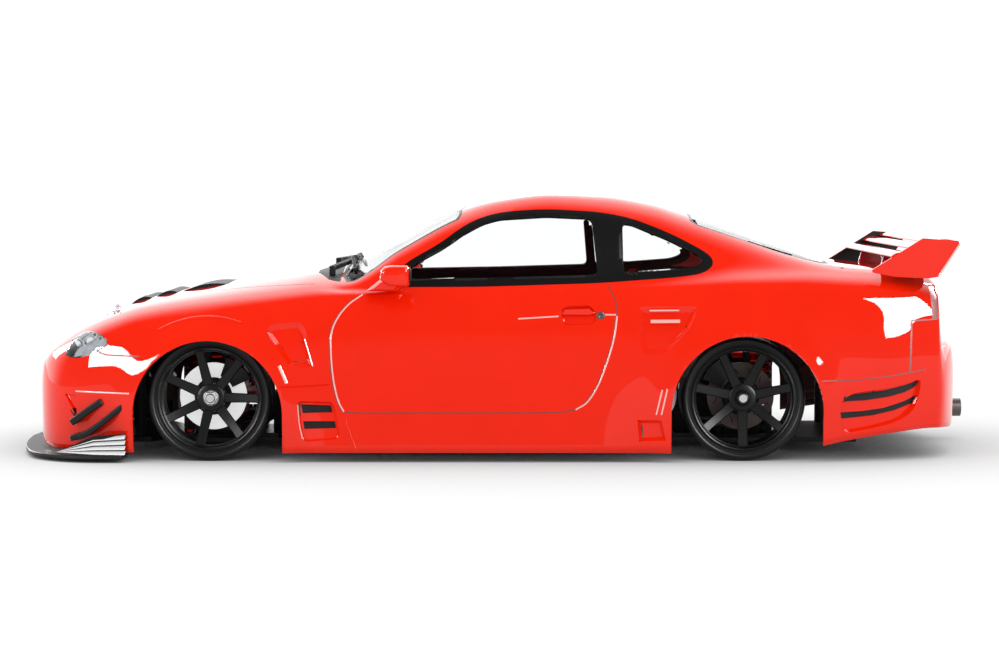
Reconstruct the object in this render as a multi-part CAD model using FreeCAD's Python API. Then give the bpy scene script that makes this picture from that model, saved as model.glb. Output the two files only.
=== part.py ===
"""A 1/10 scale radio control drift car: lift-off coupe shell over a rear wheel drive chassis.

Millimetres.  +X points to the rear of the car, -Y is the car's left side, +Z is up and the
tyres stand on z = 0.  Every function returns a list of closed solids, and save() writes one node.
"""
import FreeCAD, Part
import math
import os

from FreeCAD import Vector

# ---- wheels and axles ----
WHEELBASE = 257.0
FRONT_AXLE_X = -139.5
REAR_AXLE_X = FRONT_AXLE_X + WHEELBASE
AXLE_Z = 30.0
TYRE_R = 30.0
TYRE_BEAD_R = 25.5
TYRE_SHOULDER = 2.0
RIM_INNER_R = 23.8
WHEEL_IN = 67.0
WHEEL_OUT = 91.0
SPOKES = 7
AXLE_R = 2.5
FIT = 0.05

# ---- suspension: both links of a corner are parallel and equally long ----
PIVOT_IN = 18.0
PIVOT_OUT = 54.0
LOW_PIVOT_Z = 12.0
HIGH_PIVOT_Z = 48.0
ARM_HALF = 16.0
FORK_HALF = 11.0
BARREL_HALF = 7.0
BARREL_R = 3.0
HINGE_PIN_R = 1.5
LINK_PIN_R = 1.0
EAR_IN = 3.0
EAR_OUT = 6.0
KINGPIN_Y = 62.0
KINGPIN_R = 2.0
STEER_ARM = 14.0
SHOCK_LOW = (40.0, 17.5)
SHOCK_TOP = (28.0, 62.0)
SHOCK_OFFSET = 12.0

# ---- brakes ----
DISC_R = 16.3
DISC_Y = (72.0, 73.5)
CALIPER_Y = (70.0, 76.0)
CALIPER_R = (10.5, 20.0)

# ---- chassis ----
FLOOR_Z = (4.5, 7.0)
DECK_Z = (52.0, 54.0)

# ---- driveline: spur and pinions, each pair 24 mm apart ----
GEAR_STEP = 24.0
LAY_X = REAR_AXLE_X - GEAR_STEP
MOTOR_X = LAY_X - GEAR_STEP
MOTOR_R = 18.0
MOTOR_SHAFT_R = 1.6
ROTOR_R = 12.0
TOOTH_GAP = 0.12

# ---- shell ----
SHELL_T = 1.4
CORNER_R = 4.0
CORNER_SHARE = 0.3
FLANK_SHARE = (0.8, 0.45)
DEEP = 25.0
# x, roof line z, then y and z of the rail, belt, shoulder, widest line and lower edge
STATIONS = [
    (-231, 40, (12, 40), (20, 39.5), (26, 37), (30, 33), (28, 27)),
    (-228, 46, (20, 46), (34, 45), (42, 42), (46, 30), (44, 8)),
    (-224, 51, (28, 51), (48, 49.5), (57, 46), (62, 28), (60, 5)),
    (-216, 57.5, (32, 57.3), (58, 55), (70, 50.5), (76, 28), (74, 4.5)),
    (-204, 65, (36, 64.6), (64, 61.5), (79, 56), (85, 28), (83, 4.5)),
    (-190, 71.2, (38, 70.5), (68, 67.5), (83, 62), (91, 30), (89, 4.5)),
    (-176, 75.8, (40, 75), (70, 71.5), (85, 67), (95.5, 32), (93, 4.5)),
    (-139.5, 82.7, (42, 81.8), (72, 78.8), (87.5, 74.5), (99, 42), (98, 5)),
    (-104, 87.8, (44, 87), (72, 83.5), (86, 77.5), (97, 38), (97, 4.5)),
    (-88, 90, (46, 89), (73, 84.5), (85, 79), (95.5, 38), (97, 4.5)),
    (-76, 93, (75, 84.5), (79, 82), (85, 79.5), (95, 40), (97.5, 4.5)),
    (-47.5, 107, (70, 100), (82.5, 83), (86, 79.5), (94.5, 42), (97.5, 4.5)),
    (-20, 120, (63, 114.5), (83, 84), (86, 80), (94.5, 42), (97.5, 4.5)),
    (0, 125, (60, 121), (83, 84.5), (86, 80.5), (94.5, 42), (97.5, 4.5)),
    (25, 127.7, (58.5, 124), (83, 85), (86, 81), (94.5, 42), (97.5, 4.5)),
    (50, 127, (58, 122.5), (83, 85.5), (86.5, 81.5), (95.5, 42), (97.5, 4.5)),
    (75, 123.3, (58.5, 118.5), (83, 87), (88, 82), (98, 43), (97.5, 4.5)),
    (93, 118.5, (59.5, 113), (82.5, 89), (90, 83), (99, 43), (98, 4.5)),
    (118, 110.5, (62, 105), (80, 91.5), (92, 84.5), (99.5, 44), (98.5, 5)),
    (142, 102.2, (64, 97.5), (78, 91.5), (91, 85), (98.5, 44), (97.5, 6)),
    (166, 94.1, (62, 93), (76, 90), (88.5, 84), (96.5, 42), (94, 10)),
    (190, 92, (60, 91), (73, 88.5), (85, 82), (92, 40), (89, 13.5)),
    (213, 88.5, (54, 87.5), (67, 85), (77, 78), (82, 40), (79, 15)),
    (215, 57.5, (46, 57.3), (62, 57), (74, 54.5), (80, 36), (77, 15)),
    (222, 56.5, (34, 56.3), (50, 56), (58, 53), (62, 36), (60, 14)),
    (226, 53, (24, 52.8), (36, 52), (42, 49), (46, 36), (44, 16)),
    (229, 47, (14, 46.8), (20, 46), (25, 42), (28, 36), (26, 22)),
]
# wheel openings: centre x, centre z, radius
ARCHES = [(-140.0, 22.5, 36.0), (118.7, 24.2, 36.5)]
DOOR_GLASS = [(-52, 86.5), (-44.5, 92), (-27.5, 101), (-16.5, 109), (0, 115.5), (23, 117), (45, 116),
              (47.5, 88.5)]
QUARTER_GLASS = [(60, 89), (60, 113.5), (64, 113.3), (82, 106), (98, 98), (98, 94.5), (93, 92.5)]
FRONT_GLASS = [(-73, 66), (-22, 54), (-22, -54), (-73, -66)]
REAR_GLASS = [(97, 50), (155, 56), (155, -56), (97, -50)]
FRAME_W = 3.0
HEADLIGHT = [(-213, 51), (-209, 60), (-201, 63), (-193, 61.5), (-190, 58), (-197, 52.5), (-206, 49.5)]
HEADLIGHT_Y = 62.0
TAIL_BOX = (209.0, 216.0, 30.0, 74.0, 66.0, 85.0)
BONNET_SLOTS = [(-189, -179), (-175, -165), (-161, -147)]
SLOT_HALF = 28.0
LIP_EDGE = [(-241, 0), (-238.5, 30), (-233.2, 60), (-226, 80), (-212, 94), (-199, 99), (-181, 100)]
LIP_Z = (1.5, 3.5)
LIP_INNER = [(-181, 70), (-214, 70), (-223, 56)]
CANARDS = [[(-207, 20), (-205.6, 16.7), (-191.3, 27.2), (-193.3, 29.4)],
           [(-206, 11.7), (-204.6, 9.3), (-179.3, 25.6), (-180.3, 28.2)]]
CANARD_Y = (84.0, 98.0)
FIN = [(-214, 4.4), (-193.3, 12.4), (-182.3, 13.7), (-181.4, 3.5), (-212, 3.5)]
END_PLATE = [(179.4, 91.8), (203.9, 107.2), (220.9, 105.9), (221.7, 104.7), (211.3, 88.5), (206.4, 87.7),
             (190.6, 88.5), (180, 90.5)]
END_PLATE_Y = (84.0, 86.0)
SLATS = [(189, 201, 97.5, 2.2), (199, 210, 101.5, 2.0), (208, 220, 104.3, 1.6)]
STAY = [(188, 86.5), (204, 86.0), (201, 98.6), (191, 98.2)]
STAY_Y = 40.0
STAY_T = 2.4
MIRROR_HEAD = (-56.5, -42.7, 88.0, 104.0, 82.0, 94.5)
TAILPIPE = (205.0, 241.0, 20.0, 16.3)
TAILPIPE_R = (3.9, 4.7)
POSTS = [(-180.0, 40.0, 68.0), (170.0, 38.0, 88.0)]
POST_R = 3.0
BONNET_PIN = (-189.0, 50.0, 70.0)
MAGNET_R = 5.0
MAGNET_T = 3.0

SIDES = {"left": -1, "right": 1}


# ---- building blocks ----
def box(x0, x1, y0, y1, z0, z1):
    """A box between two x, y and z values, given in any order."""
    low = Vector(min(x0, x1), min(y0, y1), min(z0, z1))
    return Part.makeBox(abs(x1 - x0), abs(y1 - y0), abs(z1 - z0), low)


def rod(start, end, radius):
    """A round bar between two points."""
    start = Vector(*start)
    run = Vector(*end) - start
    return Part.makeCylinder(radius, run.Length, start, run)


def prism_y(outline, y0, y1):
    """A side view outline of (x, z) points, extruded from y0 to y1."""
    points = [Vector(x, min(y0, y1), z) for x, z in outline]
    face = Part.Face(Part.makePolygon(points + points[:1]))
    return face.extrude(Vector(0, abs(y1 - y0), 0))


def prism_z(outline, z0, z1):
    """A plan outline of (x, y) points, extruded from z0 to z1."""
    points = [Vector(x, y, z0) for x, y in outline]
    face = Part.Face(Part.makePolygon(points + points[:1]))
    return face.extrude(Vector(0, 0, z1 - z0))


def prism_x(outline, x0, x1):
    """A front view outline of (y, z) points, extruded from x0 to x1."""
    points = [Vector(x0, y, z) for y, z in outline]
    face = Part.Face(Part.makePolygon(points + points[:1]))
    return face.extrude(Vector(x1 - x0, 0, 0))


def fuse(*shapes):
    """One solid from overlapping shapes."""
    return shapes[0].multiFuse(list(shapes[1:])).removeSplitter()


def flip(shape):
    """The same shape on the car's other side."""
    return shape.mirror(Vector(0, 0, 0), Vector(0, 1, 0))


def both(shape):
    """A shape and its mirror image."""
    return [shape, flip(shape)]


def save(name, shapes):
    """Write one node from the solids in a list of shapes."""
    solids = [solid for shape in shapes for solid in shape.Solids]
    shape = solids[0] if len(solids) == 1 else Part.makeCompound(solids)
    shape.exportStep("parts/" + name + ".step")


def ring_y(x, z, r_out, r_in, y0, y1):
    """A disc about the y direction, with a round hole if r_in is over zero."""
    disc = rod((x, y0, z), (x, y1, z), r_out)
    if r_in <= 0:
        return disc
    reach = 1.0 if y1 > y0 else -1.0
    return disc.cut(rod((x, y0 - reach, z), (x, y1 + reach, z), r_in))


# ---- shell ----
def half_section(station, offset):
    """Points from the roof centre down to the lower edge, moved inward by offset."""
    x, top, rail, belt, shoulder, widest, low = station
    share_y, share_z = FLANK_SHARE
    flank = (shoulder[0] + share_y * (widest[0] - shoulder[0]),
             shoulder[1] + share_z * (widest[1] - shoulder[1]))
    points = [(0.0, float(top)), rail, belt, shoulder, flank, widest, low]
    if offset == 0:
        return points
    moved = [(0.0, top - offset)]
    for before, here, after in zip(points, points[1:], points[2:]):
        dy, dz = after[0] - before[0], after[1] - before[1]
        length = math.hypot(dy, dz)
        moved.append((here[0] + offset * dz / length, here[1] - offset * dy / length))
    moved.append((low[0] - offset, low[1] + offset))
    return moved


def chamfered(points):
    """The same outline with each corner cut off at two points."""
    kept = [points[0]]
    for before, here, after in zip(points, points[1:], points[2:]):
        for other in (before, after):
            length = math.hypot(other[0] - here[0], other[1] - here[1])
            share = min(CORNER_R / length, CORNER_SHARE)
            kept.append((here[0] + share * (other[0] - here[0]), here[1] + share * (other[1] - here[1])))
    return kept + [points[-1]]


def section_wire(station, offset, drop):
    """One cross section of the shell as a closed wire, its lower edge lowered by drop."""
    half = half_section(station, offset)
    half[-1] = (half[-1][0], half[-1][1] - drop)
    whole = [(-y, z) for y, z in reversed(half)] + half[1:]
    x = station[0] * (1.0 - offset / abs(STATIONS[0][0]))
    corners = [Vector(x, y, z) for y, z in chamfered(whole)]
    return Part.makePolygon(corners + corners[:1])


def shell_form(offset):
    """The body form, solid, moved inward by offset and open below when it is moved."""
    closed_ends = (STATIONS[:3], STATIONS[-3:])
    wires = []
    for station in STATIONS:
        at_end = station in closed_ends[0] or station in closed_ends[1]
        drop = 0.0 if offset == 0 or at_end else DEEP
        wires.append(section_wire(station, offset, drop))
    form = Part.makeLoft(wires, True, True)
    if form.Volume < 0:
        form.reverse()
    return form


def wheel_cutters():
    """Round-topped openings for the four wheels."""
    cutters = []
    reach = 120.0
    for x, z, radius in ARCHES:
        cutters.append(rod((x, -reach, z), (x, reach, z), radius))
        cutters.append(box(x - radius, x + radius, -reach, reach, -DEEP, z))
    return cutters


def window_cutters(grow):
    """Prisms through the windows, grown outward by grow for their frames."""
    side = 110.0
    roof = 140.0
    cabin = 80.0
    prisms = []
    for outline in (DOOR_GLASS, QUARTER_GLASS):
        prisms.append(prism_y(grown(outline, grow), -side, side))
    for outline in (FRONT_GLASS, REAR_GLASS):
        prisms.append(prism_z(grown(outline, grow), cabin, roof))
    return prisms


def grown(outline, distance):
    """An outline with each corner moved away from the outline's middle."""
    if distance == 0:
        return outline
    middle_a = sum(a for a, b in outline) / len(outline)
    middle_b = sum(b for a, b in outline) / len(outline)
    moved = []
    for a, b in outline:
        length = math.hypot(a - middle_a, b - middle_b)
        moved.append((a + distance * (a - middle_a) / length, b + distance * (b - middle_b) / length))
    return moved


def lamp_cutters():
    """Prisms through the headlights, then through the tail lamps."""
    side = 110.0
    front = prism_y(HEADLIGHT, HEADLIGHT_Y, side)
    x0, x1, y0, y1, z0, z1 = TAIL_BOX
    rear = box(x0, x1, y0, y1, z0, z1)
    return both(front), both(rear)


def cut_all(shape, cutters):
    """A shape less a list of cutters."""
    for cutter in cutters:
        shape = shape.cut(cutter)
    return shape


def shell_nodes():
    """The red shell, the parts that follow its surface and the trim that stands on it."""
    outer = shell_form(0.0)
    inner = shell_form(SHELL_T)
    skin = outer.cut(inner)
    windows = window_cutters(0.0)
    fronts, rears = lamp_cutters()
    slots = [box(x0, x1, -SLOT_HALF, SLOT_HALF, 60, 95) for x0, x1 in BONNET_SLOTS]
    pipe_x, _, pipe_y, pipe_z = TAILPIPE
    notch = box(pipe_x, pipe_x + 30, pipe_y - 6, pipe_y + 6, 0, pipe_z + 5)
    shell = cut_all(skin, wheel_cutters() + windows + fronts + rears + slots + [notch])
    save("body_shell", [shell])
    save("window_panes", [skin.common(cutter) for cutter in windows])
    save("headlights", [skin.common(cutter) for cutter in fronts])
    save("tail_lights", [skin.common(cutter) for cutter in rears])
    lining = inner.cut(shell_form(2 * SHELL_T))
    frames = [lining.common(wide).cut(narrow)
              for wide, narrow in zip(window_cutters(FRAME_W), windows)]
    save("window_frames", frames)
    grilles = [lining.common(box(x0 - 1, x1 + 1, -SLOT_HALF - 1, SLOT_HALF + 1, 60, 95))
               for x0, x1 in BONNET_SLOTS]
    save("bonnet_fittings", grilles + bonnet_fittings(outer))
    save("bumper_canards", bumper_canards(outer))
    save("splitter_fins", splitter_fins(outer))
    save("side_mirrors", side_mirrors(outer))
    save("wing_slats", wing_slats(outer))
    save("exhaust_tip", exhaust_tip(inner))


def front_splitter():
    """A flat lip under the front bumper, open behind so that the shell lifts off."""
    edge = LIP_EDGE + [(x, -y) for x, y in reversed(LIP_EDGE[1:])]
    inner = LIP_INNER + [(x, -y) for x, y in reversed(LIP_INNER)]
    plate = prism_z(edge, *LIP_Z)
    return [plate.cut(prism_z(inner + [(-170, -70), (-170, 70)], 0, 5))]


def bumper_canards(outer):
    """Two small dive planes on each side of the front bumper."""
    planes = []
    for outline in CANARDS:
        planes += both(prism_y(outline, *CANARD_Y).cut(outer))
    return planes


def splitter_fins(outer):
    """Fluted bright fins on the splitter's ends."""
    y0, y1, flutes = 92.0, 97.4, 4
    pitch = (y1 - y0) / flutes
    nose, crown, _, rear_low, nose_low = FIN
    pieces = [prism_y(FIN, y0, y0 + 0.6)]
    for i in range(flutes):
        shift = 2.0 * i
        outline = [(nose[0] + shift, nose[1]), (crown[0] + shift, crown[1]), (crown[0] + shift, rear_low[1]),
                   (nose_low[0] + shift, nose_low[1])]
        pieces.append(prism_y(outline, y0 + i * pitch, y0 + (i + 0.5) * pitch))
    pieces.append(box(crown[0], rear_low[0], y0, y1, rear_low[1], crown[1]))
    return both(fuse(*pieces).cut(outer))


def side_mirrors(outer):
    """Door mirrors on short stalks."""
    x0, x1, y0, y1, z0, z1 = MIRROR_HEAD
    head = box(x0, x1, y0, y1, z0, z1)
    head = head.makeFillet(3.5, [edge for edge in head.Edges if abs(edge.tangentAt(0).x) > 0.9])
    stalk = prism_y([(-66, 81.5), (-63, 85), (x0 + 4, 88), (x0 + 6, 83)], 84.0, y0 + 2)
    return both(fuse(head, stalk).cut(outer))


def wing_slats(outer):
    """Three overlapping slats and the two stays that carry the lowest one."""
    y = END_PLATE_Y[0]
    parts = []
    for x0, x1, z, thick in SLATS:
        parts.append(prism_y([(x0, z), (x0 + 1.5, z + thick), (x1, z + 0.8 * thick), (x1, z)], -y, y))
    stay = prism_y(STAY, STAY_Y - STAY_T / 2, STAY_Y + STAY_T / 2).cut(box(150, 230, 0, 90, 97.5, 105))
    return parts + both(stay.cut(outer))


def wing_end_plates():
    """Upright plates at the ends of the slats."""
    return both(prism_y(END_PLATE, *END_PLATE_Y))


def exhaust_tip(inner):
    """The bright tailpipe that leaves through a notch in the rear bumper, with its hanger."""
    x0, x1, y, z = TAILPIPE
    bore, radius = TAILPIPE_R
    pipe = rod((x0, y, z), (x1, y, z), radius).cut(rod((x1 - 20, y, z), (x1 + 1, y, z), bore))
    hanger = box(x0 + 2, x1, y - 1.5, y + 1.5, z + radius - 0.5, z + radius + 4).common(inner)
    return [fuse(pipe, hanger)]


def bonnet_fittings(outer):
    """Dress-up bonnet pins, and the wipers at the foot of the windscreen."""
    x, y, z = BONNET_PIN
    pin = fuse(rod((x, y, z - 3), (x, y, z + 4), 1.2), rod((x, y, z - 1), (x, y, z + 1), 3.4))
    pins = both(pin.cut(outer))
    wipers = [rod((-82, y, 92.5), (-66, y + 26, 99.5), 0.9).cut(outer) for y in (-52, 6)]
    return pins + wipers


# ---- chassis ----
def corner_lugs(axle_x):
    """Lugs and hinge pins for the four ends of a pair of lower arms."""
    parts = []
    for side in SIDES.values():
        for end in (-1, 1):
            x0 = axle_x + end * (ARM_HALF + 0.5)
            lug = box(x0, x0 + end * 2.5, side * 12.0, side * (PIVOT_IN + BARREL_R), FLOOR_Z[1], 15.0)
            parts.append(lug.cut(rod((axle_x - 30, side * PIVOT_IN, LOW_PIVOT_Z),
                                     (axle_x + 30, side * PIVOT_IN, LOW_PIVOT_Z), HINGE_PIN_R)))
        reach = ARM_HALF + 3.0
        parts.append(rod((axle_x - reach, side * PIVOT_IN, LOW_PIVOT_Z),
                         (axle_x + reach, side * PIVOT_IN, LOW_PIVOT_Z), HINGE_PIN_R))
    return parts


def link_ears(axle_x, y, root_y, side):
    """Two ears and a pin that hold one end of an upper link."""
    low, high = HIGH_PIVOT_Z - 2.5, HIGH_PIVOT_Z + 2.5
    ears = []
    for end in (-1, 1):
        near, far = axle_x + end * EAR_IN, axle_x + end * EAR_OUT
        ears.append(box(near, far, side * root_y, side * (y + 2.5), low, high))
    pin = rod((axle_x - EAR_OUT, side * y, HIGH_PIVOT_Z), (axle_x + EAR_OUT, side * y, HIGH_PIVOT_Z),
              LINK_PIN_R)
    return [ear.cut(pin) for ear in ears], pin


def chassis_plate():
    """The flat lower plate, narrow between the arms."""
    half = [(-195, 44), (-174, 44), (-164, 24), (-112, 24), (-92, 62), (58, 62), (86, 24), (138, 24),
            (143, 44), (178, 44)]
    outline = half + [(x, -y) for x, y in reversed(half)]
    return [prism_z(outline, *FLOOR_Z)]


def front_bulkhead():
    """The block between the front arms, with its lugs, ears and pins."""
    x = FRONT_AXLE_X
    block = box(x - 12, x + 9, -12, 12, FLOOR_Z[1], DECK_Z[0])
    ears, pins = [], []
    for side in SIDES.values():
        pair, pin = link_ears(x, PIVOT_IN, 11.0, side)
        ears += pair
        pins.append(pin)
    return [fuse(block, *ears)] + pins + corner_lugs(x)


def rear_gearbox():
    """Two side walls that carry the diff and layshaft, the motor plate, lugs, ears and pins."""
    x = REAR_AXLE_X
    parts = []
    for side in SIDES.values():
        wall = box(88.2, 134, side * 11.5, side * 14.5, FLOOR_Z[1], DECK_Z[0])
        wall = wall.cut(rod((x, side * 10, AXLE_Z), (x, side * 16, AXLE_Z), 4.0 + FIT))
        wall = wall.cut(rod((LAY_X, side * 10, AXLE_Z), (LAY_X, side * 16, AXLE_Z), AXLE_R + FIT))
        ears, pin = link_ears(x, PIVOT_IN, 14.0, side)
        parts += [fuse(wall, *ears), pin]
    parts += corner_lugs(x)
    plate = box(MOTOR_X - 19, 87.8, -11.0, -9.8, FLOOR_Z[1], 50.0)
    parts.append(plate.cut(rod((MOTOR_X, -12, AXLE_Z), (MOTOR_X, -9, AXLE_Z), 4.0)))
    return parts


def upper_deck():
    """The narrow top plate that ties the two ends together."""
    return [box(FRONT_AXLE_X - 10, 132, -13, 13, *DECK_Z)]


def shock_towers():
    """Upright plates that carry the tops of the shock absorbers."""
    outline = [(10, 7), (10, 40), (20, 50), (36, 60), (36, 68), (20, 68), (12, 60)]
    outline += [(-y, z) for y, z in reversed(outline)]
    plates = []
    for axle_x, end in ((FRONT_AXLE_X, -1), (REAR_AXLE_X, 1)):
        x0 = axle_x + end * 19.8
        plates.append(prism_x(outline, x0, x0 + end * 2.2))
    return plates


def body_posts():
    """Four posts with magnets on top that hold the shell."""
    parts = []
    for x, y, top in POSTS:
        for side in SIDES.values():
            parts.append(rod((x, side * y, FLOOR_Z[1]), (x, side * y, top - MAGNET_T), POST_R))
            parts.append(rod((x, side * y, top - MAGNET_T), (x, side * y, top), MAGNET_R))
    return parts


def battery_pack():
    """The stick pack along the car's right side, with rounded long edges."""
    pack = box(-88, 48, 14, 60, FLOOR_Z[1], 31)
    return [pack.makeFillet(4.0, [edge for edge in pack.Edges if abs(edge.tangentAt(0).x) > 0.9])]


def electronics():
    """Speed controller with cooling fins, and the receiver."""
    fins = [box(-16 + 5 * i, -14 + 5 * i, -48, -20, 24, 30) for i in range(7)]
    controller = fuse(box(-20, 20, -52, -16, FLOOR_Z[1], 24.5), *fins)
    return [controller, box(-72, -38, -46, -20, FLOOR_Z[1], 21)]


def steering_servo():
    """The servo case, its ears and its round boss."""
    x0 = FRONT_AXLE_X + 24.0
    case = box(x0, x0 + 20, -12, 28, FLOOR_Z[1], 27)
    ears = box(x0 + 4, x0 + 6.5, -17, 33, 9, 25)
    bore = rod((x0 - 1, 0, 16), (x0 + 9, 0, 16), 2.0 + FIT)
    return [fuse(case, ears).cut(bore)]


def bumper_foam():
    """The foam block ahead of the chassis."""
    half = [(-195.5, 58), (-212, 58), (-218, 44)]
    outline = half + [(x, -y) for x, y in reversed(half)]
    return [prism_z(outline, 10, 40)]


def motor_can():
    """The brushless motor, with end bell ribs and a bore for its shaft."""
    can = ring_y(MOTOR_X, AXLE_Z, MOTOR_R, MOTOR_SHAFT_R + FIT, -57, -11)
    can = can.cut(rod((MOTOR_X, -53, AXLE_Z), (MOTOR_X, -15, AXLE_Z), ROTOR_R + 1.0))
    grooves = [ring_y(MOTOR_X, AXLE_Z, MOTOR_R + 1, MOTOR_R - 1.2, y, y - 1.6)
               for y in (-22, -27, -32, -37, -42)]
    return [cut_all(can, grooves)]


def shock_frame(axle_x, end, side, along):
    """The point on a shock's centre line, so far below its top."""
    drop = (SHOCK_LOW[0] - SHOCK_TOP[0], SHOCK_LOW[1] - SHOCK_TOP[1])
    length = math.hypot(*drop)
    y = SHOCK_TOP[0] + along * drop[0] / length
    z = SHOCK_TOP[1] + along * drop[1] / length
    return (axle_x + end * SHOCK_OFFSET, side * y, z)


def shock_absorbers():
    """Four oil-filled bodies with their caps, springs and upper studs."""
    parts = []
    for axle_x, end in ((FRONT_AXLE_X, -1), (REAR_AXLE_X, 1)):
        for side in SIDES.values():
            at = [shock_frame(axle_x, end, side, along) for along in (3, 6, 26, 27)]
            body = rod(at[0], at[2], 4.6).cut(rod(at[1], at[3], 1.5 + FIT))
            parts.append(fuse(body, rod(at[0], at[1], 6.2)))
            top = shock_frame(axle_x, end, side, 0)
            parts.append(rod(top, (axle_x + end * 19.8, top[1], top[2]), 1.5))
            for coil in range(7):
                low = Vector(*shock_frame(axle_x, end, side, 8 + 4 * coil))
                run = Vector(*at[2]) - Vector(*at[0])
                parts.append(Part.makeTorus(6.2, 0.7, low, run))
    return parts


def shock_shaft(axle_x, end, side):
    """A shock's bright shaft, its spring seat and its lower eye."""
    at = [shock_frame(axle_x, end, side, along) for along in (16, 37, 38.5, 42)]
    shaft = rod(at[0], at[3], 1.5)
    seat = rod(at[1], at[2], 7.0)
    x, y, z = axle_x + end * SHOCK_OFFSET, side * SHOCK_LOW[0], SHOCK_LOW[1]
    eye = rod((x - 2, y, z), (x + 2, y, z), 3.4)
    whole = fuse(shaft, seat, rod(at[2], (x, y, z), 2.2), eye)
    return [whole.cut(rod((x - 3, y, z), (x + 3, y, z), 1.7))]


# ---- suspension ----
def lower_arm(axle_x, end, side):
    """A lower arm: inner barrel, web, outer fork, its pin and the shock stud."""
    inner = side * PIVOT_IN
    outer = side * PIVOT_OUT
    z = LOW_PIVOT_Z
    web_z = (z - 1.5, z + 1.5)
    web = prism_z([(axle_x - 15, side * 19), (axle_x - FORK_HALF, side * 50), (axle_x + FORK_HALF, side * 50),
                   (axle_x + 15, side * 19)], *web_z)
    web = web.cut(box(axle_x - 7.5, axle_x + 7.5, side * 47.5, side * 58, z - 5, z + 5))
    web = web.cut(prism_z([(axle_x - 7, side * 26), (axle_x - 5, side * 40), (axle_x + 5, side * 40),
                           (axle_x + 7, side * 26)], z - 5, z + 5))
    barrel = rod((axle_x - ARM_HALF, inner, z), (axle_x + ARM_HALF, inner, z), BARREL_R)
    pieces = [web, barrel]
    for way in (-1, 1):
        x0, x1 = axle_x + way * (BARREL_HALF + 0.5), axle_x + way * FORK_HALF
        pieces.append(rod((x0, outer, z), (x1, outer, z), BARREL_R))
        pieces.append(box(x0, x1, side * 47, outer, *web_z))
    arm = fuse(*pieces)
    arm = arm.cut(rod((axle_x - 20, inner, z), (axle_x + 20, inner, z), HINGE_PIN_R + FIT))
    pin = rod((axle_x - FORK_HALF, outer, z), (axle_x + FORK_HALF, outer, z), HINGE_PIN_R)
    arm = arm.cut(pin)
    stud_x = axle_x + end * SHOCK_OFFSET
    stud_y, stud_z = side * SHOCK_LOW[0], SHOCK_LOW[1]
    stud = rod((stud_x - 4.4, stud_y, stud_z), (stud_x + 4.4, stud_y, stud_z), 1.2)
    cheeks = [box(stud_x + way * 2.4, stud_x + way * 4.4, stud_y - 2.5, stud_y + 2.5, z + 0.5, stud_z + 2.2)
              for way in (-1, 1)]
    cheeks = [cheek.cut(stud) for cheek in cheeks]
    foot = box(stud_x - 4.4, stud_x + 4.4, stud_y - 2.5, stud_y + 2.5, *web_z)
    return [fuse(arm, foot, *cheeks), pin, stud]


def upper_link(axle_x, side):
    """A round link with an eye at each end."""
    z = HIGH_PIVOT_Z
    ends = [side * PIVOT_IN, side * PIVOT_OUT]
    link = rod((axle_x, ends[0], z), (axle_x, ends[1], z), 1.8)
    eyes = [rod((axle_x - 2.6, y, z), (axle_x + 2.6, y, z), 2.6) for y in ends]
    link = fuse(link, *eyes)
    bores = [(ends[0], LINK_PIN_R + FIT), (ends[1], LINK_PIN_R + 0.2)]
    return [cut_all(link, [rod((axle_x - 4, y, z), (axle_x + 4, y, z), radius) for y, radius in bores])]


def steering_hub(side):
    """The C shaped carrier between a front arm and its knuckle."""
    x = FRONT_AXLE_X
    barrel = rod((x - BARREL_HALF, side * PIVOT_OUT, LOW_PIVOT_Z),
                 (x + BARREL_HALF, side * PIVOT_OUT, LOW_PIVOT_Z), BARREL_R)
    wall = box(x - 5, x + 5, side * 52, side * 56, LOW_PIVOT_Z, 45)
    lugs = [box(x - 5, x + 5, side * 54, side * 66, low, low + 3) for low in (15, 42)]
    ears, pin = link_ears(x, PIVOT_OUT, 51.5, side)
    feet = [box(x + end * EAR_IN, x + end * 5.0, side * 52, side * 56, 44, 46) for end in (-1, 1)]
    hub = fuse(barrel, wall, *lugs, *ears, *feet)
    hub = hub.cut(rod((x - 9, side * PIVOT_OUT, LOW_PIVOT_Z), (x + 9, side * PIVOT_OUT, LOW_PIVOT_Z),
                      HINGE_PIN_R + FIT))
    hub = hub.cut(rod((x, side * KINGPIN_Y, 10), (x, side * KINGPIN_Y, 50), KINGPIN_R + FIT))
    return [hub.cut(pin), pin]


def caliper(axle_x, side, start_deg, end_deg, root):
    """A brake caliper over the disc, and the bracket that ties it to a knuckle."""
    outer = Part.makeCylinder(CALIPER_R[1], CALIPER_Y[1] - CALIPER_Y[0], Vector(0, 0, 0), Vector(0, 0, 1),
                              end_deg - start_deg)
    bore = Part.makeCylinder(CALIPER_R[0], 20, Vector(0, 0, -5))
    slot_low = Vector(0, 0, DISC_Y[0] - CALIPER_Y[0] - 0.5)
    slot = Part.makeCylinder(DISC_R + 0.9, DISC_Y[1] - DISC_Y[0] + 1.0, slot_low)
    piece = outer.cut(bore).cut(slot)
    piece.rotate(Vector(0, 0, 0), Vector(0, 0, 1), start_deg)
    piece.rotate(Vector(0, 0, 0), Vector(1, 0, 0), 90)
    piece = piece.mirror(Vector(0, 0, 0), Vector(0, 1, 0))
    piece.translate(Vector(axle_x, CALIPER_Y[0], AXLE_Z))
    x0, x1 = axle_x + root * 2, axle_x + root * 12
    bracket = box(x0, x1, 66, CALIPER_Y[0] + 1.0, AXLE_Z + 6, AXLE_Z + 11)
    piece = fuse(piece, bracket.cut(rod((axle_x, 60, AXLE_Z), (axle_x, 80, AXLE_Z), 6.0)))
    return piece if side > 0 else flip(piece)


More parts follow.
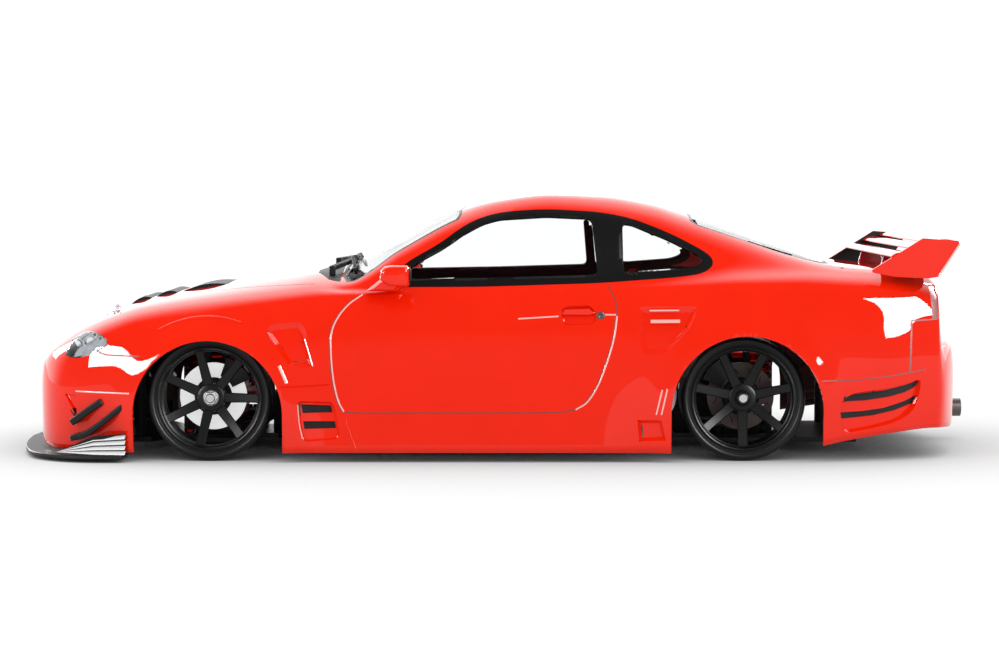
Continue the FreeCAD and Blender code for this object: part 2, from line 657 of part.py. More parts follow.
def knuckle(side):
    """A front knuckle: bearing block, kingpin stubs, steering arm and stud, and caliper."""
    x, y = FRONT_AXLE_X, side * KINGPIN_Y
    block = box(x - 6, x + 6, side * 59, side * 68, 18.5, 41.5)
    boss = rod((x, side * 67, AXLE_Z), (x, side * 70.5, AXLE_Z), 5.0)
    stubs = [rod((x, y, 15), (x, y, 19), KINGPIN_R), rod((x, y, 41), (x, y, 45), KINGPIN_R)]
    arm = box(x + 4, x + STEER_ARM + 2.5, side * 60, side * 64, 22, 25)
    stud = rod((x + STEER_ARM, y, 24), (x + STEER_ARM, y, 34), LINK_PIN_R)
    body = fuse(block, boss, *stubs, arm, stud, caliper(x, side, 25, 70, 1))
    return [body.cut(rod((x, side * 50, AXLE_Z), (x, side * 90, AXLE_Z), AXLE_R + FIT))]


def rear_hub(side):
    """A rear carrier with its bearing bore, lower barrel, ears and caliper."""
    x = REAR_AXLE_X
    barrel = rod((x - BARREL_HALF, side * PIVOT_OUT, LOW_PIVOT_Z),
                 (x + BARREL_HALF, side * PIVOT_OUT, LOW_PIVOT_Z), BARREL_R)
    leg = box(x - 6.8, x + 6.8, side * 52, side * 60, LOW_PIVOT_Z, 21)
    block = box(x - 7, x + 7, side * 58, side * 68, 18, 42)
    top = box(x - 6, x + 6, side * 52, side * 60, 39, 45)
    ears, pin = link_ears(x, PIVOT_OUT, 51.5, side)
    feet = [box(x + end * EAR_IN, x + end * EAR_OUT, side * 52, side * 56, 44, 46) for end in (-1, 1)]
    hub = fuse(barrel, leg, block, top, *ears, *feet, caliper(x, side, 110, 155, -1))
    hub = hub.cut(rod((x - 9, side * PIVOT_OUT, LOW_PIVOT_Z), (x + 9, side * PIVOT_OUT, LOW_PIVOT_Z),
                      HINGE_PIN_R + FIT))
    hub = hub.cut(rod((x, side * 50, AXLE_Z), (x, side * 90, AXLE_Z), AXLE_R + FIT))
    return [hub.cut(pin), pin]


# ---- steering ----
def steering_rack():
    """The sliding link that joins both knuckles, with open eyes and a slot for the servo horn."""
    x = FRONT_AXLE_X + STEER_ARM
    z0, z1 = 28.5, 31.5
    bar = box(x - 2, x + 2, -58.4, 58.4, z0, z1)
    tab = box(x - 2, x + 2, -6, 6, 24, 36)
    eyes = [rod((x, side * KINGPIN_Y, z0), (x, side * KINGPIN_Y, z1), 4.6) for side in (-1, 1)]
    holes = [rod((x, side * KINGPIN_Y, z0 - 1), (x, side * KINGPIN_Y, z1 + 1), 2.8) for side in (-1, 1)]
    slot = box(x - 3, x + 3, -1.7, 1.7, 26.5, 32.5)
    return [cut_all(fuse(bar, tab, *eyes), holes + [slot])]


def servo_horn():
    """The servo's output lever and its pin, which works in the rack's slot."""
    x = FRONT_AXLE_X
    shaft = rod((x + 18, 0, 16), (x + 32, 0, 16), 2.0)
    lever = prism_x([(-3.5, 12.5), (3.5, 12.5), (2.2, 32), (-2.2, 32)], x + 18, x + 20.5)
    pin = rod((x + STEER_ARM - 2.5, 0, AXLE_Z), (x + 19, 0, AXLE_Z), 1.2)
    return [fuse(shaft, lever, pin)]


# ---- driveline ----
def gear(x, y0, y1, teeth, pitch_r, depth):
    """A toothed wheel about the y direction, its tips just short of the pitch circle."""
    tip = pitch_r - TOOTH_GAP
    points = []
    for i in range(teeth):
        for share, radius in ((0.0, tip - depth), (0.25, tip - depth), (0.4, tip), (0.85, tip)):
            angle = 2 * math.pi * (i + share) / teeth
            points.append((x + radius * math.cos(angle), AXLE_Z + radius * math.sin(angle)))
    return prism_y(points, y0, y1)


def diff_spool():
    """The ring gear, its case, the outdrives and the dogbones with their ball ends."""
    x = REAR_AXLE_X
    case = fuse(rod((x, -9, AXLE_Z), (x, 1, AXLE_Z), 5.2), rod((x, 0, AXLE_Z), (x, 9, AXLE_Z), 9.0))
    pieces = [case, gear(x, 2, 7, 40, 16.0, 1.4)]
    for side in SIDES.values():
        pieces.append(rod((x, side * 8, AXLE_Z), (x, side * 16, AXLE_Z), 4.0))
        pieces.append(rod((x, side * 15, AXLE_Z), (x, side * 51, AXLE_Z), 1.2))
        pieces.append(Part.makeSphere(1.6, Vector(x, side * 51, AXLE_Z)))
    return [fuse(*pieces)]


def layshaft():
    """The shaft between motor and diff, with its spur gear and pinion."""
    shaft = rod((LAY_X, -14.5, AXLE_Z), (LAY_X, 14.5, AXLE_Z), AXLE_R)
    return [fuse(shaft, gear(LAY_X, 2, 7, 20, 8.0, 1.4), gear(LAY_X, -8.5, -5, 60, 18.0, 1.0))]


def motor_pinion():
    """The motor's rotor and shaft, and its small gear."""
    shaft = rod((MOTOR_X, -56, AXLE_Z), (MOTOR_X, -4, AXLE_Z), MOTOR_SHAFT_R)
    rotor = rod((MOTOR_X, -51, AXLE_Z), (MOTOR_X, -17, AXLE_Z), ROTOR_R)
    return [fuse(shaft, rotor, gear(MOTOR_X, -8.5, -5, 20, 6.0, 1.0))]


# ---- wheels ----
def tyre(x, side):
    """A hard low-profile drift tyre with rounded shoulders."""
    cut = TYRE_SHOULDER
    points = [(TYRE_BEAD_R, WHEEL_IN), (TYRE_R - cut, WHEEL_IN), (TYRE_R, WHEEL_IN + cut),
              (TYRE_R, WHEEL_OUT - cut), (TYRE_R - cut, WHEEL_OUT), (TYRE_BEAD_R, WHEEL_OUT)]
    wire = Part.makePolygon([Vector(x + r, side * y, AXLE_Z) for r, y in points + points[:1]])
    return [Part.Face(wire).revolve(Vector(x, 0, AXLE_Z), Vector(0, 1, 0), 360)]


def rim(x, side):
    """A deep dish rim with seven straight blades round a small boss."""
    barrel = ring_y(x, AXLE_Z, TYRE_BEAD_R, RIM_INNER_R, side * (WHEEL_IN + 0.5), side * (WHEEL_OUT - 0.3))
    boss = rod((x, side * 79, AXLE_Z), (x, side * 85, AXLE_Z), 6.7)
    blades = []
    for i in range(SPOKES):
        blade = box(x + 4, x + RIM_INNER_R + 0.8, side * 80, side * 84.5, AXLE_Z - 1.6, AXLE_Z + 1.6)
        blade.rotate(Vector(x, 0, AXLE_Z), Vector(0, 1, 0), 360.0 * i / SPOKES)
        blades.append(blade)
    wheel = fuse(barrel, boss, *blades)
    return [wheel.cut(rod((x, side * 60, AXLE_Z), (x, side * 95, AXLE_Z), AXLE_R))]


def axle_set(x, side, driven):
    """An axle with its drive hex, brake disc and wheel nut; a driven one ends in a cup."""
    inner = 56.5 if driven else 60.0
    shaft = rod((x, side * inner, AXLE_Z), (x, side * 89, AXLE_Z), AXLE_R)
    disc = ring_y(x, AXLE_Z, DISC_R, AXLE_R, side * DISC_Y[0], side * DISC_Y[1])
    corners = [(x + 6.5 * math.cos(math.radians(60 * i)), AXLE_Z + 6.5 * math.sin(math.radians(60 * i)))
               for i in range(6)]
    hexagon = prism_y(corners, side * 76.2, side * 79).cut(shaft)
    corners = [(x + 3.8 * math.cos(math.radians(60 * i)), AXLE_Z + 3.8 * math.sin(math.radians(60 * i)))
               for i in range(6)]
    nut = prism_y(corners, side * 85, side * 88.5).cut(shaft)
    solids = [shaft, disc, hexagon, nut]
    if driven:
        cup = rod((x, side * 46, AXLE_Z), (x, side * 57.5, AXLE_Z), 5.4)
        cup = cup.cut(rod((x, side * 45, AXLE_Z), (x, side * 55, AXLE_Z), 4.0))
        solids[0] = fuse(shaft, cup)
    return solids


# ---- the whole car ----
def write_shell():
    """Nodes that lift off with the shell."""
    shell_nodes()
    save("front_splitter", front_splitter())
    save("wing_end_plates", wing_end_plates())


def write_chassis():
    """Nodes fixed to the chassis."""
    save("chassis_plate", chassis_plate())
    save("front_bulkhead", front_bulkhead())
    save("rear_gearbox", rear_gearbox())
    save("upper_deck", upper_deck())
    save("shock_towers", shock_towers())
    save("body_posts", body_posts())
    save("battery_pack", battery_pack())
    save("electronics", electronics())
    save("steering_servo", steering_servo())
    save("bumper_foam", bumper_foam())
    save("motor_can", motor_can())
    save("shock_absorbers", shock_absorbers())


def write_corners():
    """Nodes of the four corners: suspension, brakes and wheels."""
    for place, axle_x, end in (("front", FRONT_AXLE_X, -1), ("rear", REAR_AXLE_X, 1)):
        for name, side in SIDES.items():
            tag = place + "_" + name
            driven = place == "rear"
            save("arm_" + tag, lower_arm(axle_x, end, side))
            save("link_" + tag, upper_link(axle_x, side))
            save("shock_shaft_" + tag, shock_shaft(axle_x, end, side))
            save("tyre_" + tag, tyre(axle_x, side))
            save("rim_" + tag, rim(axle_x, side))
            save("axle_" + tag, axle_set(axle_x, side, driven))
            if driven:
                save("hub_" + tag, rear_hub(side))
            else:
                save("hub_" + tag, steering_hub(side))
                save("knuckle_" + tag, knuckle(side))


def write_drive():
    """Nodes of the steering and of the driveline."""
    save("steering_rack", steering_rack())
    save("servo_horn", servo_horn())
    save("diff_spool", diff_spool())
    save("layshaft", layshaft())
    save("motor_pinion", motor_pinion())


os.makedirs("parts", exist_ok=True)
write_shell()
write_chassis()
write_corners()
write_drive()
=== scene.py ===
"""Looks of the radio control drift car: paint, glass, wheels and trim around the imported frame.

Outlines are given in millimetres in the car's own frame: +X to the rear, -Y to the left side, +Z up,
ground at zero.  One left half of the shell is built, and a mirror modifier makes the other half.
"""

import math

import bmesh
import bpy
from mathutils import Matrix, Vector


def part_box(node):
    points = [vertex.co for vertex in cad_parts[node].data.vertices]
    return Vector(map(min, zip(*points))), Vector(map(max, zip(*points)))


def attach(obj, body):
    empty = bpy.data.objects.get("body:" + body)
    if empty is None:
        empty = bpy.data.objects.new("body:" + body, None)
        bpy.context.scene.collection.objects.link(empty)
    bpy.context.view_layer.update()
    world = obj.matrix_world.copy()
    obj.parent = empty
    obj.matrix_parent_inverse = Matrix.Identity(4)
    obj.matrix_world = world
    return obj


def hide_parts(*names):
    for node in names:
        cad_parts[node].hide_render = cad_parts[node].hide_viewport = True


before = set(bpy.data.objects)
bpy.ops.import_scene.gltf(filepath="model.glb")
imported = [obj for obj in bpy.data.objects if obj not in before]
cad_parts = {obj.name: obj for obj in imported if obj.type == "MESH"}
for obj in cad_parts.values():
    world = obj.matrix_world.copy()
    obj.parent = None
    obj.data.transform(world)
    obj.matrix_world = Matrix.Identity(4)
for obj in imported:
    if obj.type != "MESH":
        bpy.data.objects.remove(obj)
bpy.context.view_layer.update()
MM = 0.001

# ---- camera, as far from the car as its gentle perspective says ----
CAMERA_AT = (0.0, -1350.0, 137.0)
CAMERA_TILT = 3.42
CAMERA_LENS = 94.6
MIRRORED = 0.2
HORIZON = 0.45
BACKDROP = 2.0
AMBIENT = 1.08
SEEN = 1.05
# the floor's own glow, and how far ambient occlusion reaches to dim it near things as a painted shadow
FLOOR_GLOW = 0.95
SHADE_REACH = 0.3
# each pair of softboxes: place, size and power
SOFTBOXES = {"front": ((-1.35, 1.1, 0.6), (0.7, 0.4), 34.0), "rear": ((1.35, 1.1, 0.78), (0.85, 0.9), 90.0)}

# ---- wheels and axles, from the frame ----
TYRE_LOW, TYRE_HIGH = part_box("tyre_front_left")
REAR_LOW, REAR_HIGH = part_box("tyre_rear_left")
FRONT_X = (TYRE_LOW.x + TYRE_HIGH.x) / 2 / MM
REAR_X = (REAR_LOW.x + REAR_HIGH.x) / 2 / MM
TYRE_R = (TYRE_HIGH.z - TYRE_LOW.z) / 2 / MM
AXLE_Z = TYRE_R
WHEEL_OUT = -TYRE_LOW.y / MM
WHEEL_IN = -TYRE_HIGH.y / MM

# ---- shell: x, roof line z, then y and z of the rail, belt, shoulder, widest line and lower edge ----
STATIONS = [
    (-231, 40, (12, 40), (20, 39.5), (26, 37), (30, 33), (28, 27)),
    (-228, 46, (20, 46), (34, 45), (42, 42), (46, 30), (44, 8)),
    (-224, 51, (28, 51), (48, 49.5), (57, 46), (62, 28), (60, 5)),
    (-216, 57.5, (32, 57.3), (58, 55), (70, 50.5), (76, 28), (74, 4.5)),
    (-204, 65, (36, 64.6), (66, 61.4), (79.5, 55.6), (85, 28), (83, 4.5)),
    (-190, 71.2, (38, 70.5), (72, 67.2), (84, 61.8), (91, 30), (89, 4.5)),
    (-176, 75.8, (40, 75), (75, 71.6), (86.5, 66.5), (95.5, 32), (93, 4.5)),
    (-139.5, 82.7, (42, 81.6), (78, 77.4), (88.5, 72.8), (99, 42), (98, 5)),
    (-104, 87.8, (44, 86.8), (78, 81.2), (87, 76.4), (97, 38), (97, 4.5)),
    (-88, 90, (46, 88.8), (77, 82.8), (86, 78.4), (95.5, 38), (97, 4.5)),
    (-76, 93, (75, 84.5), (79, 82), (85, 79.5), (95, 40), (97.5, 4.5)),
    (-47.5, 107, (70, 100), (82.5, 83), (86, 79.5), (94.5, 42), (97.5, 4.5)),
    (-20, 120, (63, 114.5), (83, 84), (86, 80), (94.5, 42), (97.5, 4.5)),
    (0, 125, (60, 121), (83, 84.5), (86, 80.5), (94.5, 42), (97.5, 4.5)),
    (25, 127.7, (58.5, 124), (83, 85), (86, 81), (94.5, 42), (97.5, 4.5)),
    (50, 127, (58, 122.5), (83, 85.5), (86.5, 81.5), (95.5, 42), (97.5, 4.5)),
    (75, 123.3, (58.5, 118.5), (83, 87), (88, 82), (98, 43), (97.5, 4.5)),
    (93, 118.5, (59.5, 113), (82.5, 89), (90, 83), (99, 43), (98, 4.5)),
    (118, 110.5, (62, 105), (80, 91.5), (92, 84.5), (99.5, 44), (98.5, 5)),
    (142, 102.2, (64, 97.5), (78, 91.5), (91, 85), (98.5, 44), (97.5, 6)),
    (166, 94.1, (62, 93), (76, 90), (88.5, 84), (96.5, 42), (94, 10)),
    (190, 92, (60, 91), (73, 88.5), (85, 82), (92, 40), (89, 13.5)),
    (210, 89.5, (55, 88.5), (68, 85.5), (78.5, 79), (83.5, 40), (80, 15)),
    (213, 86.5, (54, 86), (67, 83.5), (77, 77), (82, 40), (79, 15)),
    (215, 57.5, (46, 57.3), (62, 57), (74, 54.5), (80, 36), (77, 15)),
    (222, 56.5, (34, 56.3), (50, 56), (58, 53), (62, 36), (60, 14)),
    (226, 53, (24, 52.8), (36, 52), (42, 49), (46, 36), (44, 16)),
    (229, 47, (14, 46.8), (20, 46), (25, 42), (28, 36), (26, 22)),
]
FLANK = (0.8, 0.45)
SPANS = (10, 12, 5, 7, 7, 10)
STEP = 2.6
SHELL_T = 1.2
ARCHES = [(-140.0, 22.5, 36.0), (118.7, 24.2, 36.5)]
FLARE = (2.2, 7.0)

WINDOW_EDGE = [(-55, 83.4), (-46.8, 94.5), (-29, 104.3), (-18, 112.6), (-8, 117.3), (3, 119.8), (23, 121),
               (48.6, 119.6), (64.6, 116.6), (83, 109.4), (98, 101.6), (103.4, 97.6), (103.6, 93.4), (98, 89.8),
               (84, 88), (48, 85.4), (-10, 83.6)]
DOOR_GLASS = [(-50, 87.2), (-44.5, 92.4), (-27.5, 101.6), (-16.5, 109.2), (-8, 113.6), (0, 115.8), (23, 117.2),
              (45, 116.2), (47.5, 89.4), (0, 88)]
QUARTER_GLASS = [(60, 90), (60, 113.8), (64, 113.3), (82, 106), (98, 98), (98.4, 94.8), (93, 92.6)]
FRONT_EDGE = [(-77, 0), (-77, 60), (-74.5, 72), (-70, 73.5), (-20, 60.5), (-18.5, 55), (-17.5, 0)]
FRONT_GLASS = [(-75.4, 0), (-75.4, 60), (-73.2, 70.8), (-70.6, 72), (-21.4, 59.2), (-20, 54.6), (-19, 0)]
REAR_EDGE = [(93, 0), (94, 54), (97, 57), (158, 62), (162, 58), (163, 0)]
REAR_GLASS = [(94.6, 0), (95.6, 53), (98, 55.8), (157.6, 60.8), (160.6, 57.4), (161.6, 0)]
HEADLIGHT = [(-212, 50.4), (-210, 55.4), (-206.6, 59.2), (-201.6, 61.8), (-195.4, 61.6), (-190.8, 59.8),
             (-188.4, 57), (-191, 53.8), (-198.6, 50.4), (-206.4, 48.6)]
# door outline: dark strips of painted shade, the front and rear edges also with a bead of painted highlight
DOOR = [(-66, 80), (-72.5, 75.5), (-77.8, 69), (-80.6, 62), (-80.8, 52), (-79.4, 38), (-77, 28.6), (-74.6, 24.2)]
DOOR_SILL = [(-74.6, 24.2), (-70, 23.7), (-40, 23.6), (0, 23.6), (28, 24), (36.5, 25.2)]
DOOR_REAR = [(36.5, 25.2), (41.6, 28.4), (46.8, 36), (51.6, 48), (55, 60), (56.4, 70)]
DOOR_TOP = [(56.4, 70), (56.2, 75), (54.6, 80), (52.4, 84)]
BONNET_SLOTS = [(-186.5, -174.6), (-173.6, -161.6), (-160.6, -136.5)]
SLOT_HALF = 28.0
LOUVRE_RISE = 1.7
COWL = [(-93, 0), (-91, 40), (-84, 62), (-77.6, 70.5), (-77.6, 0)]

# ---- side details ----
FENDER_VENT = [(-112.4, 63.6), (-109, 66), (-96, 67.2), (-93.2, 64.5), (-89.3, 46.4), (-91.5, 45), (-100.5, 46.2),
               (-102.6, 49)]
SKIRT_VENT = [(-97, 27.5), (-96, 29.4), (-80.4, 29), (-78.6, 25), (-76.6, 13.6), (-77.6, 11), (-92.6, 9.8),
              (-94.4, 11)]
SKIRT_SLOTS = [[(-95.2, 27.8), (-81, 27.2), (-80, 23.8), (-94.4, 23.4)],
               [(-94.2, 19.6), (-79, 19.6), (-78.4, 16.2), (-93.6, 15.8)]]
SKIRT_LINE = [(-105, 36.4), (-92, 36.6), (-81.6, 37.4)]
SKIRT_BLADE = [(-74.2, 20.5), (-69, 6)]
# creases at handle height, drawn as beads of painted highlight
DOOR_LINES = [[(9, 68.6), (28.4, 69.8)], [(50.6, 70.6), (56, 70.6)]]
HANDLE = [(29.4, 72.8), (30.6, 66.4), (32, 65.4), (45, 66), (46.4, 68), (46, 72.2), (43.5, 75), (32, 74.6)]
HANDLE_BAR = [(30.2, 70.6), (31, 73), (43, 73.4), (46, 71.4), (43.5, 70.4)]
LOCK_AT = (48.6, 70.0)
QUARTER_VENT = [(67, 74.6), (95.4, 74.8), (92, 66), (85, 57.5), (79, 52.2), (69, 51.4), (66.4, 60)]
REAR_SKIRT_VENT = [(66, 20.4), (77.4, 20.4), (79.6, 10.6), (67, 10)]
# edges of the rear skirt fins, drawn as beads of painted highlight
REAR_FINS = [[(75, 23), (77.8, 35)], [(77.4, 23), (80.2, 35.4)]]
BUMPER_RECESS = [(163.2, 26), (165.6, 30.8), (170, 33.2), (185, 35), (196, 37.4), (203.6, 39.6), (203, 33),
                 (200.6, 25), (195.5, 20.6), (190, 18.4), (180, 16), (166.6, 13.8), (164, 16.4)]
BUMPER_SLOTS = [[(164, 28.8), (166.4, 31.2), (170.6, 32.5), (185, 34.1), (195.5, 36.4), (202.4, 38.4), (201.8, 36.4),
                 (200, 34.7), (195.5, 32.7), (187.7, 30.8), (175.8, 29.2)],
                [(163.8, 23.7), (174.8, 24.2), (185, 25.5), (195.5, 28.6), (202, 31.6), (200.7, 29.2), (199, 27),
                 (190.3, 24), (180, 21.9), (169.6, 20.9), (164.2, 20.5)]]
LAMP_WRAP = [(208.4, 84.6), (212.6, 84), (213.4, 76), (213.6, 68.4), (209.4, 67.8)]
# bumper and lamp seams, drawn as dark strips of painted shade
BUMPER_TOP = [(154, 39.2), (170, 39.4), (190, 41.4), (206, 44)]
BUMPER_SEAM = [(198.6, 67), (198.2, 56), (197.8, 43.4)]
LAMP_SEAM = [(198.4, 67.6), (205, 67.6), (212, 68)]
# nose crease drawn as a bead of painted highlight; fender seam as a dark strip of painted shade
NOSE_CREASE = [(-205, 33.2), (-192, 33), (-177.4, 33)]
FENDER_SEAM = [(-194, 52.8), (-190.4, 51.3), (-182, 50.9), (-172.6, 50.8)]
# the quarter crease is drawn as a painted highlight; the lines after it are painted highlights of reflections along the
# quarter, the fender vent and the skirt vent
QUARTER_CREASE = [(72, 72.6), (86, 72.8)]
QUARTER_PAINTED_HIGHLIGHT = [(72.4, 67.5), (86.4, 67.7)]
FENDER_PAINTED_HIGHLIGHT = [(-93.4, 59), (-89.6, 46.2)]
ARCH_PAINTED_HIGHLIGHT = [(-105.4, 46.4), (-101.8, 38)]
SKIRT_PAINTED_HIGHLIGHT = [(-96.6, 27.6), (-95.8, 18), (-94.4, 11.4)]
CORNER_SCOOP = [(-211, 31.6), (-204.8, 31.4), (-204.6, 21)]
SCOOP_TIP = [(-207, 25), (-204.8, 25), (-204.7, 21.2)]

BONNET_GAP = [(-212, 0), (-210, 26), (-203, 40), (-190, 45), (-168, 48), (-143, 53), (-105, 67), (-90, 71)]
BOOT_GAP = [(160, 66), (172, 68), (196, 62), (208, 58)]
PIN_AT = (-189.0, 50.0)
WIPER_PIVOTS = (-46.0, 8.0)
LAMP_PODS = [(-206.3, 70.5, 54.6, 3.6), (-198.6, 76.0, 56.6, 3.4)]

# ---- front and rear faces, as y and z ----
GRILLE = [(0, 24), (36, 23.5), (41, 20), (39, 11), (34, 9), (0, 9)]
NOSE_SLOT = [(0, 37.4), (30, 37.2), (32, 35.4), (30, 33.6), (0, 33.4)]
TAIL_LAMP = [(28, 83), (30, 84.6), (72, 82.6), (74.6, 80), (75.4, 68.6), (74, 66.4), (33, 66), (29, 69)]
TAIL_PANEL = [(0, 80), (27, 80), (27, 68), (0, 68)]

# ---- wheels: radius and distance from the car's middle ----
TYRE_PROFILE = [(25.3, 67.4), (27.6, 67.0), (29.2, 67.3), (29.9, 68.4), (30, 69.6), (30, 75.6), (29.75, 75.8),
                (29.75, 76.2), (30, 76.4), (30, 81.6), (29.75, 81.8), (29.75, 82.2), (30, 82.4), (30, 88.2),
                (29.85, 89.4), (29.2, 90.5), (28.2, 91.0), (27.4, 90.9), (27.0, 90.5), (26.2, 90.5), (25.8, 90.1),
                (25.3, 90.1)]
RIM_PROFILE = [(25.35, 67.6), (25.35, 90.2), (25.1, 90.8), (24.6, 90.95), (24.1, 90.7), (23.8, 90.0), (23.6, 88.9),
               (22.9, 88.3), (22.7, 87.2), (22.9, 84.0), (23.2, 76.0), (23.6, 68.4), (24.4, 67.6)]
BOSS_PROFILE = [(2.6, 79.4), (6.9, 79.4), (6.9, 83.6), (6.5, 84.5), (5.6, 84.95), (2.6, 84.95)]
BLADES = 7
BLADE_ROWS = [(5.0, 2.6, 83.9, 80.2), (9.0, 2.45, 84.3, 80.6), (14.0, 2.3, 85.3, 81.4), (19.0, 2.2, 86.8, 82.6),
              (23.4, 2.3, 88.5, 84.0)]
FIRST_BLADE = {"front": 0.0, "rear": 13.0}
DISC_ROWS = (8.8, 10.6, 13.8, 16.3)
DISC_FACE = (72.0, 73.5)
SLOT_STEP = 12
SHAFT_R = 2.5

# ---- wing, mirrors and nose trim ----
END_PLATE = [(179.4, 91.8), (203.9, 107.2), (220.9, 105.9), (221.7, 104.7), (211.3, 88.5), (206.4, 87.7),
             (190.6, 88.5), (180, 90.5)]
END_PLATE_Y = (84.0, 86.0)
SLATS = [(189, 201.5, 97.0, 2.6), (198.5, 210.5, 101.0, 2.4), (207.5, 220, 104.0, 1.9)]
STAY = [(188.4, 87.6), (204, 87.2), (201.4, 97.6), (191.6, 97.4)]
STAY_Y = 40.0
STAY_HALF = 1.2
MIRROR = [(-57.2, 89.2), (-56.7, 92), (-55, 93.8), (-52, 94.5), (-43.8, 94.5), (-42.7, 93.4), (-42.7, 85.4),
          (-43.8, 84.3), (-52, 84.6), (-56.4, 86.6)]
MIRROR_ROWS = [(87.5, 0.75), (89, 0.92), (93, 1.0), (99.5, 1.0), (102.2, 0.95), (103.5, 0.84), (103.9, 0.7)]
MIRROR_STALK = [(-64.9, 81.7), (-60.4, 85.2), (-56.5, 88.4), (-46, 87), (-46.2, 84.6), (-48.6, 81.4)]
STALK_ROWS = [(83.6, 1.0), (88, 0.98), (92, 0.9), (95, 0.6)]
CANARDS = [([(-206.4, 18.4), (-199.4, 23.4), (-191.4, 28.8)], 3.4),
           ([(-206.2, 11.2), (-199.6, 13), (-190.6, 19), (-178.6, 28.6)], 2.9)]
CANARD_REACH = 4.5
LIP_EDGE = [(-181, 100), (-199, 99), (-212, 94), (-226, 80), (-233.2, 60), (-238.5, 30), (-241, 0)]
LIP_INNER = [(-223, 0), (-223, 56), (-214, 70), (-181, 70)]
LIP_Z = (1.5, 3.5)
FIN_TIP = (-214.0, 90.0, 4.2)
FIN_END = -179.6
FIN_TOP = 13.9
FIN_LOW = 3.6
FIN_FOLDS = 8
FIN_PITCH = 0.25
# share of each fold pitch that is black in the fans' painted reflection
FIN_DARK = 0.11
FIN_Y = (94.6, 98.6)


# ---- small numeric helpers ----
def mm(x, y, z):
    """A point given in millimetres, as metres."""
    return Vector((x * MM, y * MM, z * MM))


def lerp(a, b, t):
    """The value a share t of the way from a to b."""
    return a + (b - a) * t


def slopes(xs, ys):
    """Slopes of a monotone cubic through the points."""
    steps = [(ys[i + 1] - ys[i]) / (xs[i + 1] - xs[i]) for i in range(len(xs) - 1)]
    result = [steps[0]]
    for i in range(1, len(xs) - 1):
        left, right = steps[i - 1], steps[i]
        if left * right <= 0:
            result.append(0.0)
            continue
        h0, h1 = xs[i] - xs[i - 1], xs[i + 1] - xs[i]
        w0, w1 = 2 * h1 + h0, h1 + 2 * h0
        result.append((w0 + w1) / (w0 / left + w1 / right))
    return result + [steps[-1]]


def monotone(xs, ys):
    """A function that follows the points with a monotone cubic."""
    ms = slopes(xs, ys)

    def value(x):
        i = max(0, min(len(xs) - 2, sum(1 for known in xs if known <= x) - 1))
        h = xs[i + 1] - xs[i]
        t = (x - xs[i]) / h
        a = (1 + 2 * t) * (1 - t) ** 2
        b = t * (1 - t) ** 2
        c = t * t * (3 - 2 * t)
        d = t * t * (t - 1)
        return a * ys[i] + b * h * ms[i] + c * ys[i + 1] + d * h * ms[i + 1]

    return value


def spline(points, counts):
    """Centripetal Catmull-Rom through 2-D points, counts steps in each span between its inner points."""
    out = []
    for i, count in enumerate(counts):
        p0, p1, p2, p3 = (Vector(points[i + k]) for k in range(4))
        t1 = max((p1 - p0).length, 1e-6) ** 0.5
        t2 = t1 + max((p2 - p1).length, 1e-6) ** 0.5
        t3 = t2 + max((p3 - p2).length, 1e-6) ** 0.5
        for k in range(count):
            t = lerp(t1, t2, k / count)
            a1 = p0 * ((t1 - t) / t1) + p1 * (t / t1)
            a2 = p1 * ((t2 - t) / (t2 - t1)) + p2 * ((t - t1) / (t2 - t1))
            a3 = p2 * ((t3 - t) / (t3 - t2)) + p3 * ((t - t2) / (t3 - t2))
            b1 = a1 * ((t2 - t) / t2) + a2 * (t / t2)
            b2 = a2 * ((t3 - t) / (t3 - t1)) + a3 * ((t - t1) / (t3 - t1))
            out.append(b1 * ((t2 - t) / (t2 - t1)) + b2 * ((t - t1) / (t2 - t1)))
    out.append(Vector(points[len(counts) + 1]))
    return out


def smooth_line(points, steps=4):
    """An open polyline rounded by a Catmull-Rom curve through its points."""
    first = Vector(points[0]) * 2 - Vector(points[1])
    last = Vector(points[-1]) * 2 - Vector(points[-2])
    return [tuple(p) for p in spline([first] + list(points) + [last], [steps] * (len(points) - 1))]


def ribbon(line, width):
    """The outline of a strip of constant width along a polyline."""
    left, right = [], []
    for i, p in enumerate(line):
        a = Vector(line[max(i - 1, 0)])
        b = Vector(line[min(i + 1, len(line) - 1)])
        run = (b - a).normalized()
        side = Vector((-run.y, run.x)) * width / 2
        left.append(tuple(Vector(p) + side))
        right.append(tuple(Vector(p) - side))
    return left + right[::-1]


def rounded(outline, radius, steps=4):
    """A closed outline with its corners rounded."""
    result = []
    for before, corner, after in zip(outline[-1:] + outline[:-1], outline, outline[1:] + outline[:1]):
        corner = Vector(corner)
        back, ahead = Vector(before) - corner, Vector(after) - corner
        start = corner + back * min(radius / back.length, 0.45)
        end = corner + ahead * min(radius / ahead.length, 0.45)
        for k in range(steps + 1):
            t = k / steps
            result.append(tuple(start.lerp(corner, t).lerp(corner.lerp(end, t), t)))
    return result


def inside(point, outline):
    """Whether a 2-D point lies inside a closed outline."""
    u, v = point
    hit = False
    for (u0, v0), (u1, v1) in zip(outline, outline[1:] + outline[:1]):
        if (v0 > v) != (v1 > v) and u < (u1 - u0) * (v - v0) / (v1 - v0) + u0:
            hit = not hit
    return hit


